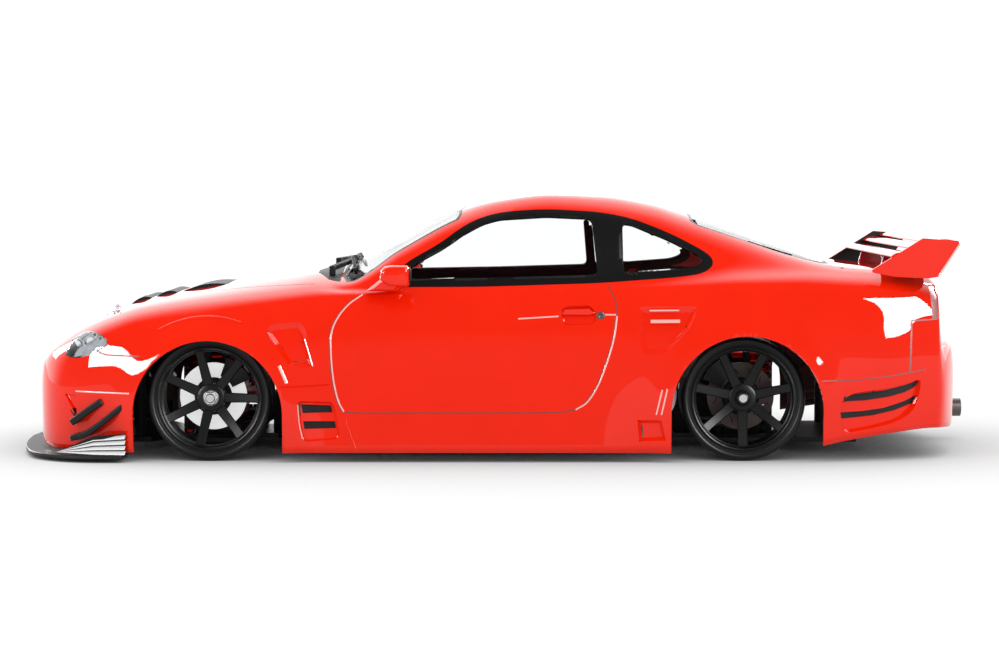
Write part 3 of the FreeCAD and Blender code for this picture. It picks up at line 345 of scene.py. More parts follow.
# ---- materials ----
def material(name, color, roughness=0.5, metallic=0.0, grain=400.0, bump=0.02, vary=0.12, **inputs):
    """A principled material with fine procedural variation of colour, roughness and relief."""
    mat = bpy.data.materials.new(name)
    mat.use_nodes = True
    nodes, links = mat.node_tree.nodes, mat.node_tree.links
    shader = nodes["Principled BSDF"]
    shader.inputs["Metallic"].default_value = metallic
    for key, value in inputs.items():
        shader.inputs[key.replace("_", " ")].default_value = value
    coords = nodes.new("ShaderNodeTexCoord")
    noise = nodes.new("ShaderNodeTexNoise")
    noise.inputs["Scale"].default_value = grain
    noise.inputs["Detail"].default_value = 4.0
    links.new(coords.outputs["Object"], noise.inputs["Vector"])
    ramp = nodes.new("ShaderNodeValToRGB")
    low = [c * (1 - vary) for c in color]
    high = [min(1.0, c * (1 + vary)) for c in color]
    ramp.color_ramp.elements[0].color = (*low, 1)
    ramp.color_ramp.elements[1].color = (*high, 1)
    ramp.color_ramp.elements[0].position = 0.3
    ramp.color_ramp.elements[1].position = 0.7
    links.new(noise.outputs["Fac"], ramp.inputs["Fac"])
    links.new(ramp.outputs["Color"], shader.inputs["Base Color"])
    rough = nodes.new("ShaderNodeMapRange")
    rough.inputs["To Min"].default_value = roughness * 0.85
    rough.inputs["To Max"].default_value = min(1.0, roughness * 1.15)
    links.new(noise.outputs["Fac"], rough.inputs["Value"])
    links.new(rough.outputs["Result"], shader.inputs["Roughness"])
    relief = nodes.new("ShaderNodeBump")
    relief.inputs["Strength"].default_value = bump
    relief.inputs["Distance"].default_value = 0.0004
    links.new(noise.outputs["Fac"], relief.inputs["Height"])
    links.new(relief.outputs["Normal"], shader.inputs["Normal"])
    return mat


PAINT = material("paint_red", (0.9, 0.016, 0.001), 0.45, grain=60, bump=0.0, vary=0.02, Coat_Weight=1.0,
                 Coat_Roughness=0.015, Coat_IOR=1.4, Specular_IOR_Level=0.0)
# lighter red laid on beads along edges and creases as a painted highlight
PAINTED_HIGHLIGHT = material("paint_red_painted_highlight", (0.95, 0.45, 0.4), 0.3, grain=60, bump=0.0, vary=0.02, Coat_Weight=1.0)
INNER = material("paint_inside_shaded", (0.03, 0.002, 0.002), 0.55, grain=300, bump=0.05, Specular_IOR_Level=0.3)
INNER_RED = material("paint_inside_red", (0.4, 0.01, 0.01), 0.5, grain=300, bump=0.05, Specular_IOR_Level=0.3)
TRIM = material("trim_black", (0.003, 0.003, 0.0035), 0.35, grain=900, bump=0.05, Specular_IOR_Level=0.18)
# darker red in gaps and seams as painted shade
GROOVE_SHADE = material("groove_painted_shade", (0.25, 0.004, 0.002), 0.5, grain=400, bump=0.02)
# black of moulded parts, also painted shade under the wing blades and on the end plates' inner faces, and the dark
# folds of the fans' painted reflection
BLACK_AND_SHADE = material("moulded_black_and_painted_shade", (0.004, 0.004, 0.005), 0.5, grain=1200, bump=0.12, Specular_IOR_Level=0.2)
RIM = material("rim_satin_black", (0.002, 0.002, 0.0025), 0.36, grain=1400, bump=0.06, Specular_IOR_Level=0.22)
TYRE = material("tyre_hard_black", (0.0025, 0.003, 0.003), 0.42, grain=900, bump=0.1, Specular_IOR_Level=0.25)
CHROME = material("bright_plating", (0.78, 0.79, 0.8), 0.08, metallic=1.0, grain=500, bump=0.01, vary=0.03)
STEEL = material("machined_steel", (0.55, 0.56, 0.57), 0.25, metallic=1.0, grain=2200, bump=0.05)
# bright disc that also glows though it is no lamp: painted light inside the shaded wheel
DISC_PAINTED_GLOW = material("brake_disc_painted_glow", (0.93, 0.93, 0.94), 0.3, grain=1500, bump=0.04, vary=0.04,
                Emission_Color=(1, 1, 1, 1), Emission_Strength=0.5)
# bright folds that glow though they are no lamp: painted highlight of the splitter fans' flutes
FLUTE_PAINTED_HIGHLIGHT = material("flute_painted_glow_highlight", (0.9, 0.91, 0.92), 0.2, grain=500, bump=0.01, vary=0.03, Coat_Weight=1.0,
                 Emission_Color=(1, 1, 1, 1), Emission_Strength=0.55)
PIPE = material("pipe_grey", (0.12, 0.11, 0.105), 0.35, metallic=0.7, grain=1500, bump=0.05)
DARK_DISC = material("brake_disc_dark", (0.07, 0.05, 0.045), 0.45, metallic=0.4, grain=1500, bump=0.05)
CARBON = material("woven_plate", (0.01, 0.01, 0.011), 0.35, grain=800, bump=0.1, Specular_IOR_Level=0.4)
SPLITTER = material("lip_satin_black", (0.01, 0.0105, 0.011), 0.5, grain=1000, bump=0.12, Specular_IOR_Level=0.2)
RED_ALLOY = material("red_anodised", (0.45, 0.012, 0.012), 0.3, metallic=0.9, grain=1800, bump=0.04)
NYLON = material("nylon_black", (0.01, 0.01, 0.011), 0.6, grain=1500, bump=0.15, Specular_IOR_Level=0.3)
SLEEVE = material("pack_sleeve", (0.02, 0.06, 0.25), 0.3, grain=300, bump=0.1)
FOAM = material("foam_black", (0.03, 0.03, 0.03), 0.95, grain=900, bump=0.8)
LENS_RED = material("lens_red", (0.35, 0.004, 0.008), 0.12, grain=200, bump=0.0, vary=0.05, Coat_Weight=1.0)
LENS_WHITE = material("bucket_bright", (0.42, 0.43, 0.45), 0.12, metallic=0.9, grain=300, bump=0.02)
ALLOY = material("satin_alloy", (0.7, 0.71, 0.73), 0.3, metallic=1.0, grain=1800, bump=0.05)
STAY_RED = material("stay_translucent_red", (0.6, 0.02, 0.03), 0.12, grain=200, bump=0.01,
                    Transmission_Weight=0.6, IOR=1.45)
GLASS = material("pane_clear", (0.97, 0.98, 0.98), 0.02, grain=80, bump=0.0, vary=0.01,
                 Transmission_Weight=1.0, IOR=1.02)
LENS_CLEAR = material("lens_clear", (0.95, 0.97, 0.98), 0.03, grain=80, bump=0.0, vary=0.01,
                      Transmission_Weight=1.0, IOR=1.3)


# ---- mesh helpers ----
def new_piece(name, body, bm, mats, smooth_angle=35.0):
    """Turn a bmesh in metres into a piece that rides on a body."""
    mesh = bpy.data.meshes.new(name)
    bm.to_mesh(mesh)
    bm.free()
    for mat in mats:
        mesh.materials.append(mat)
    mesh.shade_smooth()
    mesh.set_sharp_from_angle(angle=math.radians(smooth_angle))
    piece = bpy.data.objects.new(name, mesh)
    bpy.context.scene.collection.objects.link(piece)
    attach(piece, body)
    return piece


def modify(piece, kind, **settings):
    """Add a modifier with its settings."""
    modifier = piece.modifiers.new(kind.lower(), kind)
    for key, value in settings.items():
        setattr(modifier, key, value)
    return modifier


def mirror_y(piece):
    """Show the piece on the right side too."""
    modify(piece, "MIRROR", use_axis=(False, True, False), use_clip=False, merge_threshold=0.00001)


# ---- shell surface ----
def section_curves():
    """Monotone curves along x for every section point's y and z."""
    xs = [float(row[0]) for row in STATIONS]
    columns = []
    for row in STATIONS:
        x, top, rail, belt, shoulder, widest, low = row
        flank = (lerp(shoulder[0], widest[0], FLANK[0]), lerp(shoulder[1], widest[1], FLANK[1]))
        columns.append([(0.0, float(top)), rail, belt, shoulder, flank, widest, low])
    curves = []
    for j in range(7):
        curves.append((monotone(xs, [c[j][0] for c in columns]), monotone(xs, [c[j][1] for c in columns])))
    return curves


CURVES = section_curves()


def sample_positions():
    """Places along x: every station and even steps between them."""
    xs = []
    for a, b in zip(STATIONS, STATIONS[1:]):
        count = max(2, round((b[0] - a[0]) / STEP))
        xs += [lerp(a[0], b[0], k / count) for k in range(count)]
    return xs + [float(STATIONS[-1][0])]


def section_points(x):
    """The rounded left half section at x, from the roof centre to the lower edge."""
    points = [(fy(x), fz(x)) for fy, fz in CURVES]
    before = (-points[1][0], points[1][1])
    after = (2 * points[6][0] - points[5][0], 2 * points[6][1] - points[5][1])
    return [(y, min(z, points[0][1])) for y, z in spline([before] + points + [after], SPANS)]


def flare_out(x, y, z):
    """The outward swell of the fender round a wheel opening."""
    rise, reach = FLARE
    swell = 0.0
    for cx, cz, radius in ARCHES:
        gap = math.hypot(x - cx, max(z - cz, 0.0)) - radius
        if y > 80.0 and gap > -6.0 and z < 80.0:
            swell += rise * math.exp(-(max(gap, 0.0) / reach) ** 2)
    return swell


def shell_surface():
    """The left half of the shell as a grid of faces."""
    bm = bmesh.new()
    rows = []
    for x in sample_positions():
        row = []
        for y, z in section_points(x):
            y += flare_out(x, y, z)
            row.append(bm.verts.new(mm(x, -max(y, 0.0), z)))
        rows.append(row)
    for a, b in zip(rows, rows[1:]):
        for j in range(len(a) - 1):
            bm.faces.new((a[j], a[j + 1], b[j + 1], b[j]))
    nose = bm.faces.new(rows[0][::-1] + [bm.verts.new(mm(STATIONS[0][0], 0, STATIONS[0][6][1]))])
    tail = bm.faces.new(rows[-1] + [bm.verts.new(mm(STATIONS[-1][0], 0, STATIONS[-1][6][1]))])
    nose.smooth = tail.smooth = True
    bmesh.ops.recalc_face_normals(bm, faces=bm.faces[:])
    if sum(f.normal.z * f.calc_area() for f in bm.faces) < 0:
        bmesh.ops.reverse_faces(bm, faces=bm.faces[:])
    return bm


# the plane each outline is drawn in: its two coordinates, and the outward side that it reaches
VIEWS = {
    "side": (lambda p: (p.x / MM, p.z / MM), lambda n: n.y < -0.12),
    "top": (lambda p: (p.x / MM, -p.y / MM), lambda n: n.z > 0.2),
    "nose": (lambda p: (-p.y / MM, p.z / MM), lambda n: n.x < -0.35),
    "tail": (lambda p: (-p.y / MM, p.z / MM), lambda n: n.x > 0.35),
}


def edge_plane(view, a, b):
    """A point on, and the normal of, the plane through one edge of an outline."""
    du, dv = b[0] - a[0], b[1] - a[1]
    if view == "side":
        return mm(a[0], 0, a[1]), Vector((-dv, 0, du)).normalized()
    if view == "top":
        return mm(a[0], -a[1], 0), Vector((-dv, -du, 0)).normalized()
    return mm(0, -a[0], a[1]), Vector((0, dv, du)).normalized()


def cut_outline(bm, outline, view, near=None):
    """Cut the surface along an outline and return the faces inside it."""
    flat, faces_out = VIEWS[view]
    us = [p[0] for p in outline]
    vs = [p[1] for p in outline]

    def is_near(face):
        centre = flat(face.calc_center_median())
        if not faces_out(face.normal):
            return False
        if near and not near(face.calc_center_median()):
            return False
        margin = 6.0
        return (min(us) - margin < centre[0] < max(us) + margin
                and min(vs) - margin < centre[1] < max(vs) + margin)

    pool = {f for f in bm.faces if is_near(f)}
    for a, b in zip(outline, outline[1:] + outline[:1]):
        if math.hypot(b[0] - a[0], b[1] - a[1]) < 1e-4:
            continue
        centre, normal = edge_plane(view, a, b)
        low_u, high_u = min(a[0], b[0]) - 0.2, max(a[0], b[0]) + 0.2
        low_v, high_v = min(a[1], b[1]) - 0.2, max(a[1], b[1]) + 0.2
        chosen = []
        for face in pool:
            points = [flat(v.co) for v in face.verts]
            if max(p[0] for p in points) < low_u or min(p[0] for p in points) > high_u:
                continue
            if max(p[1] for p in points) < low_v or min(p[1] for p in points) > high_v:
                continue
            sides = [(v.co - centre).dot(normal) for v in face.verts]
            if min(sides) < -1e-7 and max(sides) > 1e-7:
                chosen.append(face)
        if not chosen:
            continue
        geom = set(chosen)
        for face in chosen:
            geom.update(face.edges)
            geom.update(face.verts)
        result = bmesh.ops.bisect_plane(bm, geom=list(geom), dist=2e-6, plane_co=centre, plane_no=normal)
        pool = {f for f in pool if f.is_valid}
        pool.update(g for g in result["geom"] if isinstance(g, bmesh.types.BMFace))
    return [f for f in pool if f.is_valid and inside(flat(f.calc_center_median()), outline)]


def copy_faces(bm, faces):
    """A new bmesh with copies of the chosen faces."""
    other = bmesh.new()
    made = {}
    for face in faces:
        for vert in face.verts:
            if vert not in made:
                made[vert] = other.verts.new(vert.co)
        other.faces.new([made[v] for v in face.verts])
    other.normal_update()
    return other


def sink(bm, faces, depth, wall, slot, wall_slot, boundary=True):
    """Push a patch of faces in (or out, if depth is negative) with a wall round it."""
    before = [(face, [loop.vert.co.copy() for loop in face.loops]) for face in faces]
    result = bmesh.ops.inset_region(bm, faces=faces, thickness=wall * MM, depth=-depth * MM, use_even_offset=True,
                                    use_boundary=boundary)
    limit = 1.5 * math.hypot(depth, wall) * MM
    for face, corners in before:
        for loop, old in zip(face.loops, corners):
            move = loop.vert.co - old
            if move.length > limit:
                loop.vert.co = old + move * (limit / move.length)
    for face in result["faces"]:
        face.material_index = wall_slot
    for face in faces:
        face.material_index = slot


PAINT_SLOT, TRIM_SLOT, GROOVE_SHADE_SLOT, BLACK_SLOT, BUCKET_SLOT, UPPER_SLOT = range(6)
SHELL_MATS = [PAINT, TRIM, GROOVE_SHADE, BLACK_AND_SHADE, LENS_WHITE, PAINT] + [INNER] * 5 + [INNER_RED]


def groove(bm, line, view, width=0.7, depth=0.7, near=None, slot=GROOVE_SHADE_SLOT):
    """A panel gap along a polyline, sunk and coloured dark red by default as painted shade."""
    faces = cut_outline(bm, ribbon(line, width), view, near)
    if faces:
        sink(bm, faces, depth, width * 0.2, slot, slot, view == "side")


def circle(cx, cz, radius, steps=72):
    """A round outline."""
    return [(cx + radius * math.cos(2 * math.pi * i / steps), cz + radius * math.sin(2 * math.pi * i / steps))
            for i in range(steps)]


def arch_outline(cx, cz, radius):
    """A wheel opening: half a circle on top of two straight sides."""
    count = 40
    top = [(cx + radius * math.cos(math.pi * i / count), cz + radius * math.sin(math.pi * i / count))
           for i in range(count + 1)]
    return top + [(cx - radius, -10.0), (cx + radius, -10.0)]


def low_side(p):
    """Whether a point is on the flank, clear of the bonnet and the roof."""
    return p.y < -0.06


def above_waist(p):
    """Whether a point is above the waist."""
    return p.z > 0.08


def upper(p):
    """Whether a point is in the glass house."""
    return p.z > 0.086


def cut_windows(bm):
    """Cut the panes out, mark the black trim round them and return the panes."""
    panes = []
    side_glasses = (rounded(DOOR_GLASS, 3.0), rounded(QUARTER_GLASS, 3.0))
    for trim, glasses, view in ((rounded(WINDOW_EDGE, 8.0), side_glasses, "side"),
                                (FRONT_EDGE, (FRONT_GLASS,), "top"), (REAR_EDGE, (REAR_GLASS,), "top")):
        cut_outline(bm, trim, view, above_waist)
        for outline in glasses:
            faces = cut_outline(bm, outline, view, above_waist)
            panes.append(copy_faces(bm, faces))
            bmesh.ops.delete(bm, geom=faces, context="FACES")
        flat, faces_out = VIEWS[view]
        ring = [f for f in bm.faces if faces_out(f.normal) and above_waist(f.calc_center_median())
                and inside(flat(f.calc_center_median()), trim)]
        for face in ring:
            face.material_index = TRIM_SLOT
    return panes


def recess(bm, outline, depth, wall, slot=PAINT_SLOT, view="side", near=low_side):
    """Press an outline into the surface."""
    faces = cut_outline(bm, outline, view, near)
    if faces:
        sink(bm, faces, depth, wall, slot, PAINT_SLOT, view == "side")


def cut_flank(bm):
    """Handle pocket, vents and scoops of the side."""
    recess(bm, rounded(HANDLE, 1.5), 1.6, 0.8)
    recess(bm, rounded(FENDER_VENT, 2.0), 2.2, 2.4)
    recess(bm, rounded(SKIRT_VENT, 1.2), 1.6, 1.0)
    for outline in SKIRT_SLOTS:
        recess(bm, outline, 0.8, 0.15, BLACK_SLOT)
    recess(bm, rounded(QUARTER_VENT, 3.0), 2.2, 2.6)
    recess(bm, REAR_SKIRT_VENT, 2.0, 1.6)


def cut_bumpers(bm):
    """Openings of both bumpers."""
    recess(bm, CORNER_SCOOP, 1.2, 0.4)
    recess(bm, SCOOP_TIP, 0.4, 0.1, BLACK_SLOT)
    recess(bm, rounded(BUMPER_RECESS, 3.0), 2.6, 0.9)
    for outline in BUMPER_SLOTS:
        recess(bm, outline, 0.5, 0.1, BLACK_SLOT)
    recess(bm, LAMP_WRAP, 0.5, 0.3, GROOVE_SHADE_SLOT)
    recess(bm, GRILLE, 3.0, 1.2, BLACK_SLOT, "nose", None)
    recess(bm, NOSE_SLOT, 2.0, 0.8, BLACK_SLOT, "nose", None)
    recess(bm, TAIL_PANEL, 0.8, 0.6, BLACK_SLOT, "tail", None)


def cut_lamps(bm):
    """Pockets for the lamps; returns the lens surfaces of the front and the rear ones."""
    lenses = []
    for outline, view, depth in ((rounded(HEADLIGHT, 3.0), "side", 3.5), (TAIL_LAMP, "tail", 1.5)):
        faces = cut_outline(bm, outline, view, low_side if view == "side" else upper_tail)
        lenses.append(copy_faces(bm, faces))
        sink(bm, faces, depth, 0.5, BUCKET_SLOT if view == "side" else BLACK_SLOT, BLACK_SLOT)
    return lenses


def upper_tail(p):
    """Whether a point is on the upper tail panel."""
    return p.x > 0.2 and p.z > 0.06


def cut_top(bm):
    """Bonnet louvres, cowl and the bonnet's and boot lid's gaps."""
    for x0, x1 in BONNET_SLOTS:
        recess(bm, [(x0, 0), (x0, SLOT_HALF - 3), (x0 + 3, SLOT_HALF), (x1, SLOT_HALF), (x1, 0)], 2.0, 0.8,
               BLACK_SLOT, "top", None)
    recess(bm, COWL, 0.6, 0.5, BLACK_SLOT, "top", above_waist)
    # bonnet and boot lid gaps sunk, with dark red walls and floor as painted shade
    groove(bm, smooth_line(BONNET_GAP, 4), "top", 0.8, 0.7, None, GROOVE_SHADE_SLOT)
    groove(bm, smooth_line(BOOT_GAP, 4), "top", 0.8, 0.7, above_waist, GROOVE_SHADE_SLOT)


def build_shell():
    """The painted shell, its panes, lamp lenses and window trim."""
    bm = shell_surface()
    for arch in ARCHES:
        faces = cut_outline(bm, arch_outline(*arch), "side")
        bmesh.ops.delete(bm, geom=faces, context="FACES")
    panes = cut_windows(bm)
    lenses = cut_lamps(bm)
    cut_flank(bm)
    cut_bumpers(bm)
    cut_top(bm)
    for face in bm.faces:
        if face.material_index == PAINT_SLOT and upper(face.calc_center_median()):
            face.material_index = UPPER_SLOT
    shell = new_piece("shell_painted", "shell", bm, SHELL_MATS, 28.0)
    mirror_y(shell)
    modify(shell, "SOLIDIFY", thickness=SHELL_T * MM, offset=-1.0, material_offset=6, material_offset_rim=0,
           use_rim=True)
    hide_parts("body_shell", "window_frames")
    for i, pane in enumerate(panes):
        glass = new_piece("pane_%d" % i, "shell", pane, [GLASS])
        mirror_y(glass)
        modify(glass, "SOLIDIFY", thickness=0.7 * MM, offset=-1.0)
        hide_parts("window_panes")
    for lens, name, slot, mat, node in ((lenses[0], "headlight_lens", "lamp_front", LENS_CLEAR, "headlights"),
                                        (lenses[1], "tail_lens", "lamp_rear", LENS_RED, "tail_lights")):
        cover = new_piece(name, "shell", lens, [mat])
        mirror_y(cover)
        modify(cover, "SOLIDIFY", thickness=0.7 * MM, offset=-1.0)
        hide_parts(node)


# ---- round work ----
def lathe(bm, profile, x, side, slot=0, steps=96):
    """Turn a closed (radius, distance from the middle) profile round a wheel's axis."""
    rings = []
    for k in range(steps):
        angle = 2 * math.pi * k / steps
        rings.append([bm.verts.new(mm(x + r * math.cos(angle), side * y, AXLE_Z + r * math.sin(angle)))
                      for r, y in profile])
    count = len(profile)
    for a, b in zip(rings, rings[1:] + rings[:1]):
        for j in range(count):
            face = bm.faces.new((a[j], a[(j + 1) % count], b[(j + 1) % count], b[j]))
            face.material_index = slot


def close_up(bm):
    """Weld coincident corners and turn the faces outwards."""
    bmesh.ops.remove_doubles(bm, verts=bm.verts[:], dist=2e-6)
    bmesh.ops.dissolve_degenerate(bm, edges=bm.edges[:], dist=1e-7)
    bmesh.ops.recalc_face_normals(bm, faces=bm.faces[:])


def loft(bm, rows, slot=0):
    """A closed solid through rows of points with flat ends."""
    made = [[bm.verts.new(p) for p in row] for row in rows]
    count = len(rows[0])
    faces = [bm.faces.new(made[0][::-1]), bm.faces.new(made[-1])]
    for a, b in zip(made, made[1:]):
        faces += [bm.faces.new((a[j], a[(j + 1) % count], b[(j + 1) % count], b[j])) for j in range(count)]
    for face in faces:
        face.material_index = slot
    return faces


def blade(bm, x, side, degrees):
    """One concave spoke from the boss out to the lip."""
    angle = math.radians(degrees)
    out = Vector((math.cos(angle), 0, math.sin(angle)))
    across = Vector((-out.z, 0, out.x))
    centre = Vector((x, 0, AXLE_Z))
    rows = []
    for r, half, front, back in BLADE_ROWS:
        edge = 0.45
        ring = [(-half + edge, front), (half - edge, front), (half, front - edge), (half * 0.8, back),
                (-half * 0.8, back), (-half, front - edge)]
        rows.append([(centre + out * r + across * a + Vector((0, side * y, 0))) * MM for a, y in ring])
    loft(bm, rows)


def disc_plate(bm, x, side, slotted, slot):
    """A brake disc, with slanted through slots if slotted."""
    steps = 144
    y0, y1 = DISC_FACE
    verts = []
    for r in DISC_ROWS:
        turn = (r - DISC_ROWS[1]) / DISC_ROWS[1] * 0.8 if slotted else 0.0
        verts.append([bm.verts.new(mm(x + r * math.cos(2 * math.pi * k / steps + turn), side * y0,
                                      AXLE_Z + r * math.sin(2 * math.pi * k / steps + turn))) for k in range(steps)])
    faces = []
    for row, (a, b) in enumerate(zip(verts, verts[1:])):
        for k in range(steps):
            if slotted and row == 1 and k % SLOT_STEP == 0:
                continue
            n = (k + 1) % steps
            faces.append(bm.faces.new((a[k], a[n], b[n], b[k])))
    made = bmesh.ops.extrude_face_region(bm, geom=faces)["geom"]
    for item in made:
        if isinstance(item, bmesh.types.BMVert):
            item.co.y += side * (y1 - y0) * MM
    for face in bm.faces:
        if max(v.co.y * side for v in face.verts) <= y1 * MM + 1e-7 and min(v.co.y * side for v in face.verts) >= y0 * MM - 1e-7:
            face.material_index = slot


def build_tyre(tag, x, side):
    """A hard tyre with rounded shoulders and two shallow tread lines."""
    bm = bmesh.new()
    lathe(bm, TYRE_PROFILE, x, side, steps=144)
    close_up(bm)
    tyre = new_piece("tyre_detail_" + tag, "wheel_" + tag, bm, [TYRE], 40.0)
    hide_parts("tyre_" + tag)


def build_rim(tag, x, side, start):
    """A deep dish rim with a stepped lip and seven concave spokes."""
    bm = bmesh.new()
    lathe(bm, RIM_PROFILE, x, side, steps=144)
    lathe(bm, BOSS_PROFILE, x, side, steps=48)
    for k in range(BLADES):
        blade(bm, x, side, start + 360.0 * k / BLADES)
    close_up(bm)
    rim = new_piece("rim_detail_" + tag, "wheel_" + tag, bm, [RIM], 32.0)
    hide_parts("rim_" + tag)


def build_axle(tag, x, side, driven):
    """Axle, drive hex, disc with its dark bell, and a flanged nut."""
    inner = 56.5 if driven else 60.0
    bm = bmesh.new()
    disc_plate(bm, x, side, driven, 1)
    lathe(bm, [(0, inner), (SHAFT_R, inner), (SHAFT_R, 88.3), (1.9, 89), (0, 89)], x, side, 0, 32)
    lathe(bm, [(SHAFT_R, 71.6), (8.0, 71.6), (9.2, 72.3), (9.2, 74.0), (8.2, 74.9), (SHAFT_R, 75.6)], x, side, 2, 64)
    lathe(bm, [(SHAFT_R, 76.2), (6.2, 76.2), (6.5, 76.6), (6.5, 79), (SHAFT_R, 79)], x, side, 0, 6)
    lathe(bm, [(SHAFT_R, 85.05), (3.85, 85.05), (3.85, 85.7), (3.5, 86.1), (SHAFT_R, 86.1)], x, side, 3, 48)
    lathe(bm, [(SHAFT_R, 86.0), (3.6, 86.0), (3.6, 87.9), (3.1, 88.4), (SHAFT_R, 88.4)], x, side, 3, 6)
    if driven:
        lathe(bm, [(0, 55), (4, 55), (4, 46), (5.4, 46), (5.4, 56.9), (4.8, 57.5), (0, 57.5)], x, side, 0, 48)
    close_up(bm)
    mats = [STEEL, DARK_DISC if driven else DISC_PAINTED_GLOW, NYLON, RIM if driven else ALLOY]
    axle = new_piece("axle_detail_" + tag, "wheel_" + tag, bm, mats, 32.0)
    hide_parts("axle_" + tag)


def build_wheels():
    """Everything that spins at the four corners."""
    for place, x in (("front", FRONT_X), ("rear", REAR_X)):
        for name, side in (("left", -1), ("right", 1)):
            tag = place + "_" + name
            build_tyre(tag, x, side)
            build_rim(tag, x, side, FIRST_BLADE[place])
            build_axle(tag, x, side, place == "rear")


# ---- pieces that stand on the shell ----
def prism(bm, outline, y0, y1, slot=0):
    """A flat plate of a side outline between two distances from the middle, on the left."""
    return loft(bm, [[mm(x, -y, z) for x, z in outline] for y in (y0, y1)], slot)


def soften(piece, width, segments=2):
    """Round the edges of a piece."""
    modify(piece, "BEVEL", width=width * MM, segments=segments, limit_method="ANGLE", angle_limit=math.radians(30))


def scaled(outline, share):
    """An outline shrunk about its middle."""
    cx = sum(p[0] for p in outline) / len(outline)
    cz = sum(p[1] for p in outline) / len(outline)
    return [(lerp(cx, x, share), lerp(cz, z, share)) for x, z in outline]


def build_mirrors():
    """Rounded mirror heads on tapered stalks, with a dark glass behind."""
    bm = bmesh.new()
    loft(bm, [[mm(x, -y, z) for x, z in scaled(MIRROR, share)] for y, share in MIRROR_ROWS])
    loft(bm, [[mm(x, -y, z) for x, z in scaled(MIRROR_STALK, share)] for y, share in STALK_ROWS])
    face = [(-42.9, 86.0), (-42.9, 93.0), (-42.3, 92.6), (-42.3, 86.4)]
    prism(bm, face, 90.0, 102.0, 1)
    close_up(bm)
    mirrors = new_piece("mirror_heads", "shell", bm, [PAINT, TRIM], 40.0)
    mirror_y(mirrors)
    soften(mirrors, 0.35)
    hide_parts("side_mirrors")


def slat_section(x0, x1, z, thick, steps=10):
    """A cambered wing section as a closed outline."""
    top, under = [], []
    for k in range(steps + 1):
        t = k / steps
        camber = 0.9 * math.sin(math.pi * t) * thick * 0.35
        half = thick * 0.9 * math.sqrt(t) * (1 - t) + 0.22
        rise = thick * 0.5 + t * thick * 0.35
        top.append((lerp(x0, x1, t), z + rise + camber + half))
        under.append((lerp(x0, x1, t), z + rise + camber - half))
    return top + under[::-1]


def build_wing():
    """Cambered slats with black undersides of painted shade, end plates with black inner faces of painted shade and a
    rear-edge bead of painted highlight, and clear red stays.
    """
    bm = bmesh.new()
    for slat in SLATS:
        outline = slat_section(*slat)
        loft(bm, [[mm(x, y, z) for x, z in outline] for y in (-END_PLATE_Y[0], END_PLATE_Y[0])])
    close_up(bm)
    # undersides of the blades black: painted shade
    for face in bm.faces:
        face.material_index = 1 if face.normal.z < -0.2 else 0
    slats = new_piece("wing_blades", "shell", bm, [PAINT, BLACK_AND_SHADE], 40.0)
    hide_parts("wing_slats")
    bm = bmesh.new()
    prism(bm, STAY, STAY_Y - STAY_HALF, STAY_Y + STAY_HALF)
    close_up(bm)
    stays = new_piece("wing_stays", "shell", bm, [STAY_RED])
    mirror_y(stays)
    soften(stays, 0.4)
    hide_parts("wing_slats")
    bm = bmesh.new()
    prism(bm, END_PLATE, *END_PLATE_Y)
    close_up(bm)
    # inner faces of the end plates black: painted shade
    for face in bm.faces:
        face.material_index = 1 if face.normal.y > 0.8 else 0
    # bead along the rear edge in the lighter red: painted highlight
    prism(bm, ribbon(END_PLATE[3:5], 0.8), END_PLATE_Y[1] - 0.4, END_PLATE_Y[1] + 0.6, 2)
    plates = new_piece("wing_ends", "shell", bm, [PAINT, BLACK_AND_SHADE, PAINTED_HIGHLIGHT])
    mirror_y(plates)
    soften(plates, 0.3)
    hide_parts("wing_end_plates")


def build_canards():
    """Curved dive planes on the corners of the front bumper."""
    bm = bmesh.new()
    for line, width in CANARDS:
        outline = ribbon(smooth_line(line, 5), width)
        middle = line[len(line) // 2][0]
        root = bumper_side(middle)
        prism(bm, outline, root - 6.0, root + CANARD_REACH)
    close_up(bm)
    canards = new_piece("dive_planes", "shell", bm, [BLACK_AND_SHADE], 40.0)
    mirror_y(canards)
    soften(canards, 0.7, 3)
    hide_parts("bumper_canards")


def bumper_side(x):
    """Half the shell's width at its widest line."""
    return CURVES[5][0](x)


def build_fins():
    """Pleated fans on the splitter's ends: folds spread from a tip to an upright rear edge, alternately black and
    glowing bright as a painted reflection.
    """
    bm = bmesh.new()
    tip = bm.verts.new(mm(FIN_TIP[0], -FIN_TIP[1], FIN_TIP[2]))
    rear, mid = [], []
    for k in range(FIN_FOLDS + 1):
        t = k // 2 * FIN_PITCH + k % 2 * FIN_DARK
        y = FIN_Y[(k + 1) % 2]
        z = lerp(FIN_TOP, FIN_LOW, t)
        rear.append(bm.verts.new(mm(FIN_END, -y, z)))
        z_mid = lerp(FIN_TOP - 1.6, FIN_LOW, t)
        mid.append(bm.verts.new(mm(lerp(FIN_TIP[0], FIN_END, 0.55), -(lerp(FIN_TIP[1], y, 0.7)), z_mid)))
    for k in range(FIN_FOLDS):
        # folds alternate black and glowing bright: painted reflection of flutes
        slot = k % 2
        for face in (bm.faces.new((tip, mid[k], mid[k + 1])),
                     bm.faces.new((mid[k], rear[k], rear[k + 1], mid[k + 1]))):
            face.material_index = slot
    back = [bm.verts.new(mm(FIN_END, -FIN_Y[0] + 2.5, z)) for z in (FIN_LOW, FIN_TOP)]
    bm.faces.new(rear + back)
    bm.faces.new((tip, mid[0], rear[0], back[1]))
    bm.faces.new((tip, back[0], rear[-1], mid[-1]))
    bm.faces.new((tip, back[1], back[0]))
    close_up(bm)
    fins = new_piece("splitter_fans", "shell", bm, [BLACK_AND_SHADE, FLUTE_PAINTED_HIGHLIGHT], 10.0)
    mirror_y(fins)
    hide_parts("splitter_fins")


